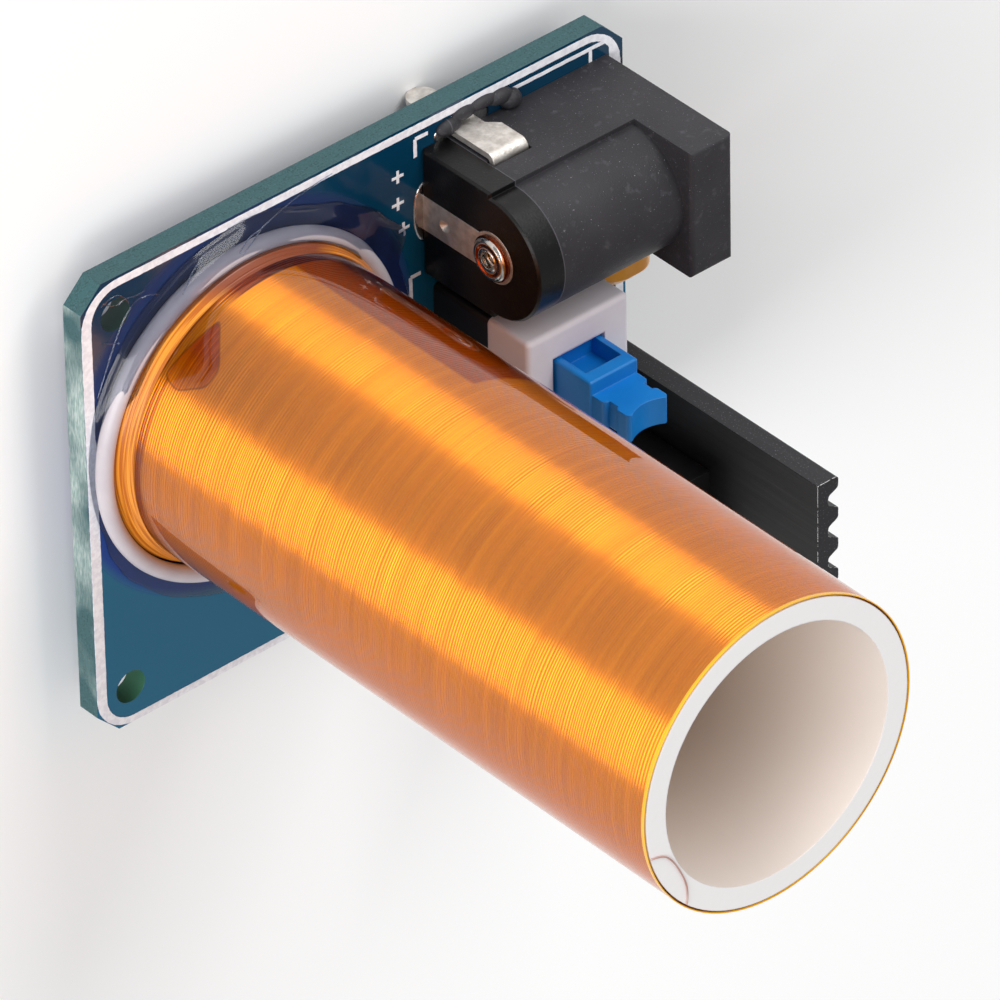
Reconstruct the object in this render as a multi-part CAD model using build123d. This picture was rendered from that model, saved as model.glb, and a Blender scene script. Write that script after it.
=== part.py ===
from build123d import *
import math
import os

os.makedirs("parts", exist_ok=True)

# A small resonant transformer (a coil that throws a short spark) on its own circuit board.
# Millimetres. +Z is up, out of the board's component side and along the coil.
# +X runs along the board's long side, from the coil to the mouth of the power jack.
# The origin is midway between the two mounting holes, on the board's underside.

# ---------------------------------------------------------------- circuit board
BOARD_THICKNESS = 1.6
BOARD_CORNER = 1.6
BOARD_MARGIN_PAST_HEATSINK = 5.0
BOARD_MARGIN_BESIDE_JACK = 2.15
MOUNT_HOLE_DIAMETER = 2.2
MOUNT_HOLE_END_MARGIN = 2.6
MOUNT_HOLE_SIDE_MARGIN = 2.65
LEAD_HOLE_CLEARANCE = 0.12
LEAD_TAIL = 1.3
SOLDER_HEIGHT = 0.9
SOLDER_SPREAD = 0.45
SOLDER_TIP_SPREAD = 0.09
SOLDER_CORNER = 0.586
SLOT_CORNER = 0.3
HOLE_SIDES = 8
WIRE_SIDES = 6

# ---------------------------------------------------------------- coil
COIL_END_MARGIN = 1.95
COIL_Y = 3.25
TUBE_DIAMETER = 20.0
TUBE_WALL = 1.5
TUBE_LENGTH = 46.8
WINDING_THICKNESS = 0.12
WINDING_START = 1.3
WINDING_TOP_MARGIN = 0.6
FILM_THICKNESS = 0.06
FILM_START = 0.3
END_LEAD_DIAMETER = 0.2
END_LEAD_ANGLE = -150.0
END_LEAD_SPREAD = 32.0

PRIMARY_WIRE = 1.1
PRIMARY_GAP = 0.07
PRIMARY_SHIFT_X = -0.1
PRIMARY_SHIFT_Y = -0.35
PRIMARY_LIFT = 0.15
PRIMARY_START_ANGLE = -18.0
PRIMARY_END_ANGLE = -52.0
PRIMARY_BEND = 1.0
PRIMARY_HOLE_CLEARANCE = 0.15

GLUE_SIDES = 36
GLUE_FOOT_REACH = 2.97
GLUE_FOOT_SHIFT_X = 1.0
GLUE_FOOT_SHIFT_Y = -0.5
GLUE_WAIST_REACH = 1.82
GLUE_WAIST_HEIGHT = 1.0
GLUE_TOP_THICKNESS = 0.25
GLUE_HEIGHT = 3.0
GLUE_CLEARANCE = 0.1

# ---------------------------------------------------------------- power jack
JACK_COIL_GAP = 3.97
JACK_SWITCH_GAP = 1.1
JACK_LENGTH = 14.6
JACK_WIDTH = 9.0
JACK_HEIGHT = 11.2
JACK_FLANGE = 3.25
JACK_SHOULDER = 6.15
JACK_AXIS_HEIGHT = 6.35
JACK_BARREL_DIAMETER = 8.3
JACK_BORE_DIAMETER = 6.3
JACK_CAP_THICKNESS = 2.0
JACK_EDGE = 0.3
JACK_MOUTH_BEVEL = 0.4
JACK_PIN_DIAMETER = 2.0
JACK_PIN_RECESS = 1.2
JACK_PIN_NOSE = 0.6
RIVET_DIAMETER = 3.05
RIVET_HEIGHT = 0.45
RIVET_EYE = 1.2
RIVET_BEVEL = 0.27
TERMINAL_THICKNESS = 0.4
TERMINAL_WIDTH = 2.45
TERMINAL_EYE_MARGIN = 0.5
TERMINAL_TAIL = 2.9
TERMINAL_TAIL_WIDTH = 2.0
TERMINAL_SHOULDER = 1.0
TERMINAL_DIMPLE = 0.9
TERMINAL_DIMPLE_DEPTH = 0.3
TERMINAL_POCKET_CLEARANCE = 0.05
TERMINAL_DIMPLE_HEIGHT = 2.0
SLEEVE_TERMINAL_OFFSET = 6.2
SIDE_TERMINAL_OFFSET = 3.5
SIDE_TERMINAL_HEIGHT = 4.1
SIDE_TERMINAL_WIDTH = 2.7
SIDE_TERMINAL_GAP = 0.15
SLIT_CLEARANCE = 0.15
BOARD_SLOT_LENGTH = 3.4
BOARD_SLOT_WIDTH = 1.0
LEAF_BED = 1.1
LEAF_LIFT = 0.35
LEAF_CROWN = 0.35
LEAF_BEND = 0.35
LEAF_CROWN_INSET = 1.5
LEAF_NOSE_RUN = 2.2
LEAF_NOSE_RISE = 0.4

# ---------------------------------------------------------------- push switch
SWITCH_COIL_GAP = 4.67
SWITCH_Y = 0.0
SWITCH_SIZE = 8.0
SWITCH_BASE_HEIGHT = 4.9
SWITCH_HEIGHT = 8.5
SWITCH_WALL = 0.8
SWITCH_FLOOR = 1.0
SWITCH_EDGE = 0.7
SWITCH_TRAVEL = 2.5
STEM_SIZE = 3.8
STEM_EDGE = 0.2
STEM_RISE = 3.15
STEM_POCKET_WALL = 0.5
STEM_POCKET_DEPTH = 1.2
STEM_POCKET_SILL = 0.95
STEM_CLEARANCE = 0.15
STEM_NECK_THICKNESS = 1.9
STEM_NECK_WIDTH = 3.5
STEM_NECK_LENGTH = 1.1
STEM_GROOVE_WIDTH = 2.7
STEM_GROOVE_LENGTH = 0.75
STEM_HEAD_LENGTH = 1.2
STEM_HEAD_WIDTH = 3.2
STEM_CORNER = 0.3
STEM_HEAD_DISH = 0.4
SLIDER_LENGTH = 5.3
SLIDER_WIDTH = 4.0
SLIDER_SPARE = 1.1
SLIDER_GAP = 0.1
SPRING_DIAMETER = 2.2
SPRING_WIRE = 0.3
SPRING_COILS = 3
SPRING_CLEARANCE = 0.25
SPRING_SIDES = 4
SWITCH_PIN_PITCH = 2.3
SWITCH_PIN_WIDTH = 0.7
SWITCH_PIN_THICKNESS = 0.3
SWITCH_PIN_RISE = 3.4
CONTACT_THICKNESS = 0.25
CONTACT_HEIGHT = 1.2
CONTACT_GAP = 0.1
LATCH_WIRE = 0.4
LATCH_TRACK_DEPTH = 0.7
LATCH_HOOK = 0.55
LATCH_HOOK_HEIGHT = 0.9
LATCH_FOOT = 0.2
LATCH_BEND = 0.3

# ---------------------------------------------------------------- heatsink and transistor
HEATSINK_SWITCH_GAP = 2.2
HEATSINK_Y = -10.9
HEATSINK_HEIGHT = 22.7
HEATSINK_PLATE = 0.85
RIB_DEPTH = 0.8
RIB_PITCH = 2.27
RIB_COUNT = 7
RIB_THICKNESS = 0.8
GROOVE_FLOOR = 0.7
RIB_TIP_RADIUS = 0.25
RIB_ROOT_RADIUS = 0.3
TRANSISTOR_Y = -11.7
TRANSISTOR_WIDTH = 7.8
TRANSISTOR_HEIGHT = 11.0
TRANSISTOR_THICKNESS = 2.8
TRANSISTOR_STANDOFF = 2.1
TRANSISTOR_BEVEL = 0.6
TRANSISTOR_HOLE_DROP = 3.75
COLLECTOR_WIDTH = 5.0
COLLECTOR_LENGTH = 6.6
COLLECTOR_THICKNESS = 0.5
COLLECTOR_INSET = 0.6
TRANSISTOR_LEAD_PITCH = 2.29
TRANSISTOR_LEAD_WIDTH = 0.75
TRANSISTOR_LEAD_THICKNESS = 0.5
SCREW_DIAMETER = 3.0
SCREW_HOLE_CLEARANCE = 0.1
SCREW_HEAD_DIAMETER = 5.5
SCREW_HEAD_HEIGHT = 1.8
SCREW_HEAD_BEVEL = 0.7
SCREW_TIP_BEVEL = 0.25
SCREW_SLOT_WIDTH = 0.8
SCREW_SLOT_LENGTH = 3.1
SCREW_SLOT_DEPTH = 0.7
SCREW_END = 0.8
NUT_WIDTH = 5.5
NUT_HEIGHT = 2.4

# ---------------------------------------------------------------- small parts
CAPACITOR_SWITCH_GAP = 1.1
CAPACITOR_Y = 2.4
CAPACITOR_LENGTH = 4.4
CAPACITOR_THICKNESS = 2.3
CAPACITOR_HEIGHT = 3.8
CAPACITOR_STANDOFF = 1.5
CAPACITOR_ROUND = 1.8
CAPACITOR_BEVEL = 0.7
CAPACITOR_LEAD_PITCH = 5.0
CAPACITOR_LEAD_INSET = 1.2
WIRE_LEAD = 0.5
LEAD_KINK = 0.5
LEAD_BEND = 0.3

LED_SWITCH_OFFSET = 6.3
LED_Y = -7.3
LED_DIAMETER = 3.0
LED_HEIGHT = 4.5
LED_FLANGE_DIAMETER = 3.8
LED_FLANGE_HEIGHT = 1.0
LED_DOME_STEPS = 4
LED_DOME_SIDES = 24
LED_STANDOFF = 0.6
LED_LEAD_PITCH = 2.54
LED_LEAD_DEPTH = 1.4
LED_LEAD_INSET = 0.6

RESISTOR_SWITCH_OFFSET = 8.2
RESISTOR_Y = -12.9
RESISTOR_LENGTH = 6.3
RESISTOR_DIAMETER = 2.1
RESISTOR_END_DIAMETER = 2.5
RESISTOR_END_LENGTH = 1.3
RESISTOR_END_BEVEL = 0.35
RESISTOR_LEAD_PITCH = 10.16
RESISTOR_LEAD_BEND = 0.7
RESISTOR_STANDOFF = 0.2

# ---------------------------------------------------------------- levels and places shared by the pieces
BOARD_TOP = BOARD_THICKNESS
BOARD_LEFT = -MOUNT_HOLE_END_MARGIN

TUBE_RADIUS = TUBE_DIAMETER / 2
COIL_X = BOARD_LEFT + COIL_END_MARGIN + TUBE_RADIUS
WINDING_RADIUS = TUBE_RADIUS + WINDING_THICKNESS
FILM_RADIUS = WINDING_RADIUS + FILM_THICKNESS
TUBE_TOP = BOARD_TOP + TUBE_LENGTH
WINDING_TOP = TUBE_TOP - WINDING_TOP_MARGIN
PRIMARY_SHIFT = math.hypot(PRIMARY_SHIFT_X, PRIMARY_SHIFT_Y)
PRIMARY_RADIUS = FILM_RADIUS + PRIMARY_SHIFT + PRIMARY_GAP + PRIMARY_WIRE / 2
PRIMARY_X = COIL_X + PRIMARY_SHIFT_X
PRIMARY_Y = COIL_Y + PRIMARY_SHIFT_Y
PRIMARY_LEVEL = BOARD_TOP + PRIMARY_LIFT + PRIMARY_WIRE / 2

COIL_RIGHT = COIL_X + FILM_RADIUS
SWITCH_X = COIL_RIGHT + SWITCH_COIL_GAP + SWITCH_SIZE / 2
SWITCH_RIGHT = SWITCH_X + SWITCH_SIZE / 2
JACK_Y = SWITCH_Y + SWITCH_SIZE / 2 + JACK_SWITCH_GAP + JACK_WIDTH / 2
JACK_REAR = COIL_RIGHT + JACK_COIL_GAP
JACK_MOUTH = JACK_REAR + JACK_LENGTH
HEATSINK_X = SWITCH_RIGHT + HEATSINK_SWITCH_GAP
CAPACITOR_X = SWITCH_RIGHT + CAPACITOR_SWITCH_GAP + CAPACITOR_LENGTH / 2
LED_X = SWITCH_X - LED_SWITCH_OFFSET
RESISTOR_X = SWITCH_X - RESISTOR_SWITCH_OFFSET

BOARD_RIGHT = HEATSINK_X + BOARD_MARGIN_PAST_HEATSINK
BOARD_LENGTH = BOARD_RIGHT - BOARD_LEFT
BOARD_WIDTH = 2 * (JACK_Y + JACK_WIDTH / 2 + BOARD_MARGIN_BESIDE_JACK)
MOUNT_HOLE_SPACING = BOARD_WIDTH - 2 * MOUNT_HOLE_SIDE_MARGIN

JACK_SEAM = JACK_REAR + JACK_CAP_THICKNESS
JACK_AXIS = BOARD_TOP + JACK_AXIS_HEIGHT
SLEEVE_TERMINAL_X = JACK_REAR + SLEEVE_TERMINAL_OFFSET
SIDE_TERMINAL_X = JACK_REAR + SIDE_TERMINAL_OFFSET
SIDE_TERMINAL_Y = JACK_Y + JACK_WIDTH / 2 + SIDE_TERMINAL_GAP + TERMINAL_THICKNESS / 2
REAR_TERMINAL_X = JACK_REAR + TERMINAL_THICKNESS / 2

SWITCH_FLOOR_TOP = BOARD_TOP + SWITCH_FLOOR
SWITCH_SEAM = BOARD_TOP + SWITCH_BASE_HEIGHT
SWITCH_TOP = BOARD_TOP + SWITCH_HEIGHT
SWITCH_CEILING = SWITCH_TOP - SWITCH_WALL
SLIDER_TOP = SWITCH_CEILING - SLIDER_GAP
SLIDER_BOTTOM = SWITCH_FLOOR_TOP + SWITCH_TRAVEL + SLIDER_SPARE
SPRING_POCKET_TOP = SLIDER_TOP - SWITCH_WALL
CONTACT_FACE = SLIDER_WIDTH / 2 + CONTACT_THICKNESS + CONTACT_GAP
SWITCH_PIN_ROW = CONTACT_FACE + SWITCH_PIN_THICKNESS / 2

TRANSISTOR_BOTTOM = BOARD_TOP + TRANSISTOR_STANDOFF
TRANSISTOR_TOP = TRANSISTOR_BOTTOM + TRANSISTOR_HEIGHT
SCREW_LEVEL = TRANSISTOR_TOP - TRANSISTOR_HOLE_DROP
SCREW_HOLE_RADIUS = SCREW_DIAMETER / 2 + SCREW_HOLE_CLEARANCE
HEATSINK_DEPTH = HEATSINK_PLATE + RIB_DEPTH
HEATSINK_WIDTH = RIB_PITCH * (RIB_COUNT - 1) + RIB_THICKNESS
TRANSISTOR_LEAD_X = HEATSINK_X - TRANSISTOR_THICKNESS / 2
SIDE_TAIL_X = SIDE_TERMINAL_X - (SIDE_TERMINAL_WIDTH - TERMINAL_TAIL_WIDTH) / 2


def save(node, shape):
    export_step(shape, f"parts/{node}.step")


def block(x_low, x_high, y_low, y_high, z_low, z_high):
    """A box between three pairs of limits."""
    size = (x_high - x_low, y_high - y_low, z_high - z_low)
    middle = ((x_low + x_high) / 2, (y_low + y_high) / 2, (z_low + z_high) / 2)
    return Pos(*middle) * Box(*size)


def ring(outer_radius, inner_radius, z_low, z_high):
    """A sleeve standing on the coil's axis."""
    face = Circle(outer_radius) - Circle(inner_radius)
    return Pos(COIL_X, COIL_Y, z_low) * extrude(face, z_high - z_low)


def end_view(x):
    """The plane across X at x, drawn in Y and Z."""
    return Plane((x, 0, 0), x_dir=(0, 1, 0), z_dir=(1, 0, 0))


def side_view(y):
    """The plane across Y at y, drawn in X and Z, that extrudes towards -Y."""
    return Plane((0, y, 0), x_dir=(1, 0, 0), z_dir=(0, -1, 0))


def rod_along_x(radius, x_low, x_high, y, z):
    """A round bar along X."""
    return extrude(end_view(x_low) * Pos(y, z) * Circle(radius), x_high - x_low)


def wire(path, diameter, sides=WIRE_SIDES):
    """A wire along a path. Its section has a few flat sides, because round ones would cost many facets."""
    section = RegularPolygon(diameter / 2, sides)
    return sweep(Plane(path @ 0, z_dir=path % 0) * section, path=path)


# ---------------------------------------------------------------- leads, their holes and their solder

def lead_places():
    """The round-holed leads: x, y, and the size across the lead."""
    places = []
    for row in (-1, 1):
        for step in (-1, 0, 1):
            pin_x = SWITCH_X + step * SWITCH_PIN_PITCH
            places.append((pin_x, SWITCH_Y + row * SWITCH_PIN_ROW, SWITCH_PIN_WIDTH))
    for step in (-1, 0, 1):
        lead_y = TRANSISTOR_Y + step * TRANSISTOR_LEAD_PITCH
        places.append((TRANSISTOR_LEAD_X, lead_y, TRANSISTOR_LEAD_WIDTH))
    for side in (-1, 1):
        places.append((CAPACITOR_X + side * CAPACITOR_LEAD_PITCH / 2, CAPACITOR_Y, WIRE_LEAD))
        places.append((LED_X + side * LED_LEAD_PITCH / 2, LED_Y, WIRE_LEAD))
        places.append((RESISTOR_X + side * RESISTOR_LEAD_PITCH / 2, RESISTOR_Y, WIRE_LEAD))
    return places


def terminal_places():
    """The jack's three blades: x, y, and how far each blade's width is turned from X."""
    return [
        (REAR_TERMINAL_X, JACK_Y, 90),
        (SLEEVE_TERMINAL_X, JACK_Y, 90),
        (SIDE_TAIL_X, SIDE_TERMINAL_Y, 0),
    ]


def primary_leg_places():
    """Where the two ends of the primary loop go down through the board."""
    places = []
    for angle, turn in ((PRIMARY_START_ANGLE, -1), (PRIMARY_END_ANGLE, 1)):
        leg = polar(PRIMARY_RADIUS, angle) + polar(PRIMARY_BEND, angle + 90 * turn)
        places.append((PRIMARY_X + leg.X, PRIMARY_Y + leg.Y))
    return places


def polar(radius, angle):
    radians = math.radians(angle)
    return Vector(radius * math.cos(radians), radius * math.sin(radians), 0)


def frustum(low_corners, low, high_corners, high):
    """A solid with flat sides between two outlines, one above the other, with equally many corners."""
    bottom = [Vector(x, y, low) for x, y in low_corners]
    top = [Vector(x, y, high) for x, y in high_corners]
    faces = [Face(Wire.make_polygon(bottom)), Face(Wire.make_polygon(top))]
    for index in range(len(bottom)):
        after = (index + 1) % len(bottom)
        side = [bottom[index], bottom[after], top[after], top[index]]
        faces.append(Face(Wire.make_polygon(side)))
    return Solid(Shell(faces))


def round_corners(x, y, radius, sides):
    """Corners spaced evenly round a circle."""
    points = [polar(radius, 360 * side / sides) for side in range(sides)]
    return [(x + point.X, y + point.Y) for point in points]


def cut_corners(half_x, half_y, cut):
    """The eight corners, in order, of a rectangle whose own corners are cut off."""
    quarter = [(half_x, half_y - cut), (half_x - cut, half_y)]
    corners = list(quarter)
    corners += [(-x, y) for x, y in reversed(quarter)]
    corners += [(-x, -y) for x, y in quarter]
    corners += [(x, -y) for x, y in reversed(quarter)]
    return corners


def solder_cone(half_x, half_y, x, y):
    """Solder drawn up a lead under the board, from a wide foot to a narrow tip."""
    levels = []
    for spread in (SOLDER_TIP_SPREAD, SOLDER_SPREAD):
        reach_x = half_x + spread
        reach_y = half_y + spread
        corners = cut_corners(reach_x, reach_y, SOLDER_CORNER * min(reach_x, reach_y))
        levels.append([(x + corner_x, y + corner_y) for corner_x, corner_y in corners])
    return frustum(levels[0], -SOLDER_HEIGHT, levels[1], 0)


def solder_joints():
    joints = []
    round_places = lead_places() + [(x, y, PRIMARY_WIRE) for x, y in primary_leg_places()]
    for x, y, across in round_places:
        joints.append(solder_cone(across / 2, across / 2, x, y))
    for x, y, turn in terminal_places():
        half_length = BOARD_SLOT_LENGTH / 2
        half_width = BOARD_SLOT_WIDTH / 2
        if turn:
            half_length, half_width = half_width, half_length
        joints.append(solder_cone(half_length, half_width, x, y))
    return joints


def circuit_board():
    middle_x = BOARD_LEFT + BOARD_LENGTH / 2
    outline = Pos(middle_x, 0) * Rectangle(BOARD_LENGTH, BOARD_WIDTH)
    outline = chamfer(outline.vertices(), BOARD_CORNER)
    for side in (-1, 1):
        outline -= Pos(0, side * MOUNT_HOLE_SPACING / 2) * Circle(MOUNT_HOLE_DIAMETER / 2)
    for x, y, across in lead_places():
        outline -= Pos(x, y) * lead_hole(across / 2 + LEAD_HOLE_CLEARANCE)
    for x, y, turn in terminal_places():
        slot = Rectangle(BOARD_SLOT_LENGTH, BOARD_SLOT_WIDTH)
        outline -= Pos(x, y) * Rot(0, 0, turn) * chamfer(slot.vertices(), SLOT_CORNER)
    for x, y in primary_leg_places():
        outline -= Pos(x, y) * lead_hole(PRIMARY_WIRE / 2 + PRIMARY_HOLE_CLEARANCE)
    return extrude(outline, BOARD_THICKNESS)


def lead_hole(radius):
    """A small hole, drawn with a few flat sides that touch a circle of this radius."""
    return RegularPolygon(radius, HOLE_SIDES, major_radius=False)


# ---------------------------------------------------------------- coil

def coil_former():
    return ring(TUBE_RADIUS, TUBE_RADIUS - TUBE_WALL, BOARD_TOP, TUBE_TOP)


def secondary_winding():
    return ring(WINDING_RADIUS, TUBE_RADIUS, BOARD_TOP + WINDING_START, WINDING_TOP)


def insulating_film():
    """The film lies on the winding and reaches past both of its ends."""
    return ring(FILM_RADIUS, WINDING_RADIUS, BOARD_TOP + FILM_START, TUBE_TOP)


def free_end_lead():
    """The last turn's end, looped over the tube's end face."""
    level = TUBE_TOP + END_LEAD_DIAMETER / 2
    bow_radius = TUBE_RADIUS - TUBE_WALL + END_LEAD_DIAMETER
    first = polar(TUBE_RADIUS, END_LEAD_ANGLE - END_LEAD_SPREAD / 2)
    crown = polar(bow_radius, END_LEAD_ANGLE)
    last = polar(TUBE_RADIUS, END_LEAD_ANGLE + END_LEAD_SPREAD / 2)
    bow = ThreePointArc(first, crown, last)
    bow = Pos(COIL_X, COIL_Y, level) * bow
    return wire(bow, END_LEAD_DIAMETER)


def primary_path():
    """One turn round the coil's foot, with both ends turned down through the board."""
    sweep_angle = 360 + PRIMARY_END_ANGLE - PRIMARY_START_ANGLE
    half = sweep_angle / 2
    middle = Vector(PRIMARY_X, PRIMARY_Y, PRIMARY_LEVEL)
    edges = []
    for start in (PRIMARY_START_ANGLE, PRIMARY_START_ANGLE + half):
        points = [middle + polar(PRIMARY_RADIUS, start + half * part) for part in (0, 0.5, 1)]
        edges.append(ThreePointArc(*points))
    down = Vector(0, 0, -1)
    bends = []
    for angle, turn in ((PRIMARY_START_ANGLE, -1), (PRIMARY_END_ANGLE, 1)):
        end = middle + polar(PRIMARY_RADIUS, angle)
        ahead = polar(1, angle + 90 * turn)
        centre = end + down * PRIMARY_BEND
        halfway = centre + (ahead - down).normalized() * PRIMARY_BEND
        corner = centre + ahead * PRIMARY_BEND
        foot = Vector(corner.X, corner.Y, -LEAD_TAIL)
        if turn < 0:
            bends.append([Line(foot, corner), ThreePointArc(corner, halfway, end)])
        else:
            bends.append([ThreePointArc(end, halfway, corner), Line(corner, foot)])
    return Wire(bends[0] + edges + bends[1])


def primary_loop():
    return wire(primary_path(), PRIMARY_WIRE)


def primary_self_gap():
    """The least distance between the loop's two legs, measured on their centre lines."""
    (x_one, y_one), (x_two, y_two) = primary_leg_places()
    return math.hypot(x_one - x_two, y_one - y_two) - PRIMARY_WIRE


def glue_bead():
    """Clear glue over the loop and the foot of the tube; the loop lies bare where the glue is short."""
    rings = (
        (FILM_RADIUS + GLUE_FOOT_REACH, 0, 1),
        (FILM_RADIUS + GLUE_WAIST_REACH, GLUE_WAIST_HEIGHT, 0.5),
        (FILM_RADIUS + GLUE_TOP_THICKNESS, GLUE_HEIGHT, 0),
    )
    levels = []
    for radius, height, shift in rings:
        x = COIL_X + shift * GLUE_FOOT_SHIFT_X
        y = COIL_Y + shift * GLUE_FOOT_SHIFT_Y
        levels.append((round_corners(x, y, radius, GLUE_SIDES), BOARD_TOP + height))
    foot, waist, top = levels
    bead = frustum(*foot, *waist) + frustum(*waist, *top)
    bead -= Pos(COIL_X, COIL_Y, BOARD_TOP) * extrude(Circle(FILM_RADIUS), GLUE_HEIGHT)
    channel_radius = PRIMARY_RADIUS + PRIMARY_WIRE / 2 + GLUE_CLEARANCE
    channel_height = PRIMARY_LIFT + PRIMARY_WIRE + GLUE_CLEARANCE
    channel = RegularPolygon(channel_radius, GLUE_SIDES, major_radius=False)
    return bead - Pos(PRIMARY_X, PRIMARY_Y, BOARD_TOP) * extrude(channel, channel_height)


# ---------------------------------------------------------------- power jack

def jack_outline():
    """The jack's end view: a square foot with a round barrel on it."""
    foot = Pos(JACK_Y, BOARD_TOP + JACK_SHOULDER / 2) * Rectangle(JACK_WIDTH, JACK_SHOULDER)
    return foot + Pos(JACK_Y, JACK_AXIS) * Circle(JACK_BARREL_DIAMETER / 2)


def side_slit():
    """The slit in the jack's side wall that the side terminal comes out of."""
    half_width = SIDE_TERMINAL_WIDTH / 2 + SLIT_CLEARANCE
    level = BOARD_TOP + SIDE_TERMINAL_HEIGHT - TERMINAL_THICKNESS / 2
    half_height = TERMINAL_THICKNESS / 2 + SLIT_CLEARANCE
    return block(
        SIDE_TERMINAL_X - half_width, SIDE_TERMINAL_X + half_width,
        JACK_Y + JACK_BORE_DIAMETER / 4, JACK_Y + JACK_WIDTH,
        level - half_height, level + half_height,
    )


def jack_housing():
    body = extrude(end_view(JACK_SEAM) * jack_outline(), JACK_LENGTH - JACK_CAP_THICKNESS)
    flange = block(
        JACK_MOUTH - JACK_FLANGE, JACK_MOUTH,
        JACK_Y - JACK_WIDTH / 2, JACK_Y + JACK_WIDTH / 2,
        BOARD_TOP, BOARD_TOP + JACK_HEIGHT,
    )
    upper = flange.edges().filter_by(Axis.X) + flange.edges().filter_by(Axis.Y).sort_by(Axis.Z)[-2:]
    body += fillet(upper, JACK_EDGE)
    body -= rod_along_x(JACK_BORE_DIAMETER / 2, JACK_SEAM, JACK_MOUTH, JACK_Y, JACK_AXIS)
    mouth = body.edges().filter_by(GeomType.CIRCLE).group_by(Axis.X)[-1].sort_by(SortBy.LENGTH)[-1]
    body = chamfer(mouth, JACK_MOUTH_BEVEL)
    return body - leaf_channel() - side_slit()


def leaf_channel():
    """The channel under the bore that the sleeve leaf lies and flexes in, and the slot for its tail."""
    half_width = TERMINAL_WIDTH / 2 + SLIT_CLEARANCE
    half_slot = TERMINAL_THICKNESS / 2 + SLIT_CLEARANCE
    behind = SLEEVE_TERMINAL_X - half_slot
    channel = block(
        behind, JACK_MOUTH - JACK_FLANGE / 2, JACK_Y - half_width, JACK_Y + half_width,
        BOARD_TOP + LEAF_BED, JACK_AXIS,
    )
    tail_slot = block(
        behind, SLEEVE_TERMINAL_X + half_slot, JACK_Y - half_width, JACK_Y + half_width,
        BOARD_TOP, BOARD_TOP + LEAF_BED,
    )
    return channel + tail_slot


def jack_rear_cap():
    cap = extrude(end_view(JACK_REAR) * jack_outline(), JACK_CAP_THICKNESS)
    cap = chamfer(cap.faces().sort_by(Axis.X)[0].edges(), JACK_EDGE / 2)
    pocket = end_view(JACK_REAR) * rear_strip_outline(TERMINAL_POCKET_CLEARANCE)
    cap -= extrude(pocket, TERMINAL_THICKNESS)
    return cap - rod_along_x(JACK_PIN_DIAMETER / 2, JACK_REAR, JACK_SEAM, JACK_Y, JACK_AXIS)


def jack_centre_pin():
    """The plug's centre contact, riveted through the rear cap and the rear terminal."""
    tip = JACK_MOUTH - JACK_PIN_RECESS
    back = JACK_REAR
    pin = rod_along_x(JACK_PIN_DIAMETER / 2, back, tip, JACK_Y, JACK_AXIS)
    pin = chamfer(pin.edges().sort_by(Axis.X)[-1], JACK_PIN_NOSE)
    head = rod_along_x(RIVET_DIAMETER / 2, back - RIVET_HEIGHT, back, JACK_Y, JACK_AXIS)
    head = chamfer(head.edges().sort_by(Axis.X)[0], RIVET_BEVEL)
    eye = rod_along_x(RIVET_EYE / 2, back - RIVET_HEIGHT, back, JACK_Y, JACK_AXIS)
    return pin + head - eye


def tail_outline(middle, shoulder_level, width):
    """A blade's narrow end, from the shoulder down to its rounded tip below the board."""
    tip_centre = width / 2 - TERMINAL_TAIL
    tail = Pos(middle, (shoulder_level + tip_centre) / 2) * Rectangle(width, shoulder_level - tip_centre)
    return tail + Pos(middle, tip_centre) * Circle(width / 2)


def rear_strip_outline(margin):
    """The rear blade's eye and strip above the board, widened by a margin."""
    height = JACK_AXIS - BOARD_TOP
    eye = Pos(JACK_Y, JACK_AXIS) * Circle(TERMINAL_WIDTH / 2 + TERMINAL_EYE_MARGIN + margin)
    return eye + Pos(JACK_Y, BOARD_TOP + height / 2) * Rectangle(TERMINAL_WIDTH + 2 * margin, height)


def jack_rear_terminal():
    """A flat blade let into the rear cap, from the rivet down through the board, with a pressed dimple."""
    outline = rear_strip_outline(0) + tail_outline(JACK_Y, BOARD_TOP, TERMINAL_TAIL_WIDTH)
    outline -= Pos(JACK_Y, JACK_AXIS) * Circle(JACK_PIN_DIAMETER / 2)
    blade = extrude(end_view(JACK_REAR) * outline, TERMINAL_THICKNESS)
    dimple = Pos(0, 0, TERMINAL_DIMPLE_DEPTH / 2) * Cone(TERMINAL_DIMPLE / 2, 0, TERMINAL_DIMPLE_DEPTH)
    return blade - end_view(JACK_REAR) * Pos(JACK_Y, BOARD_TOP + TERMINAL_DIMPLE_HEIGHT) * dimple


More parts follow.
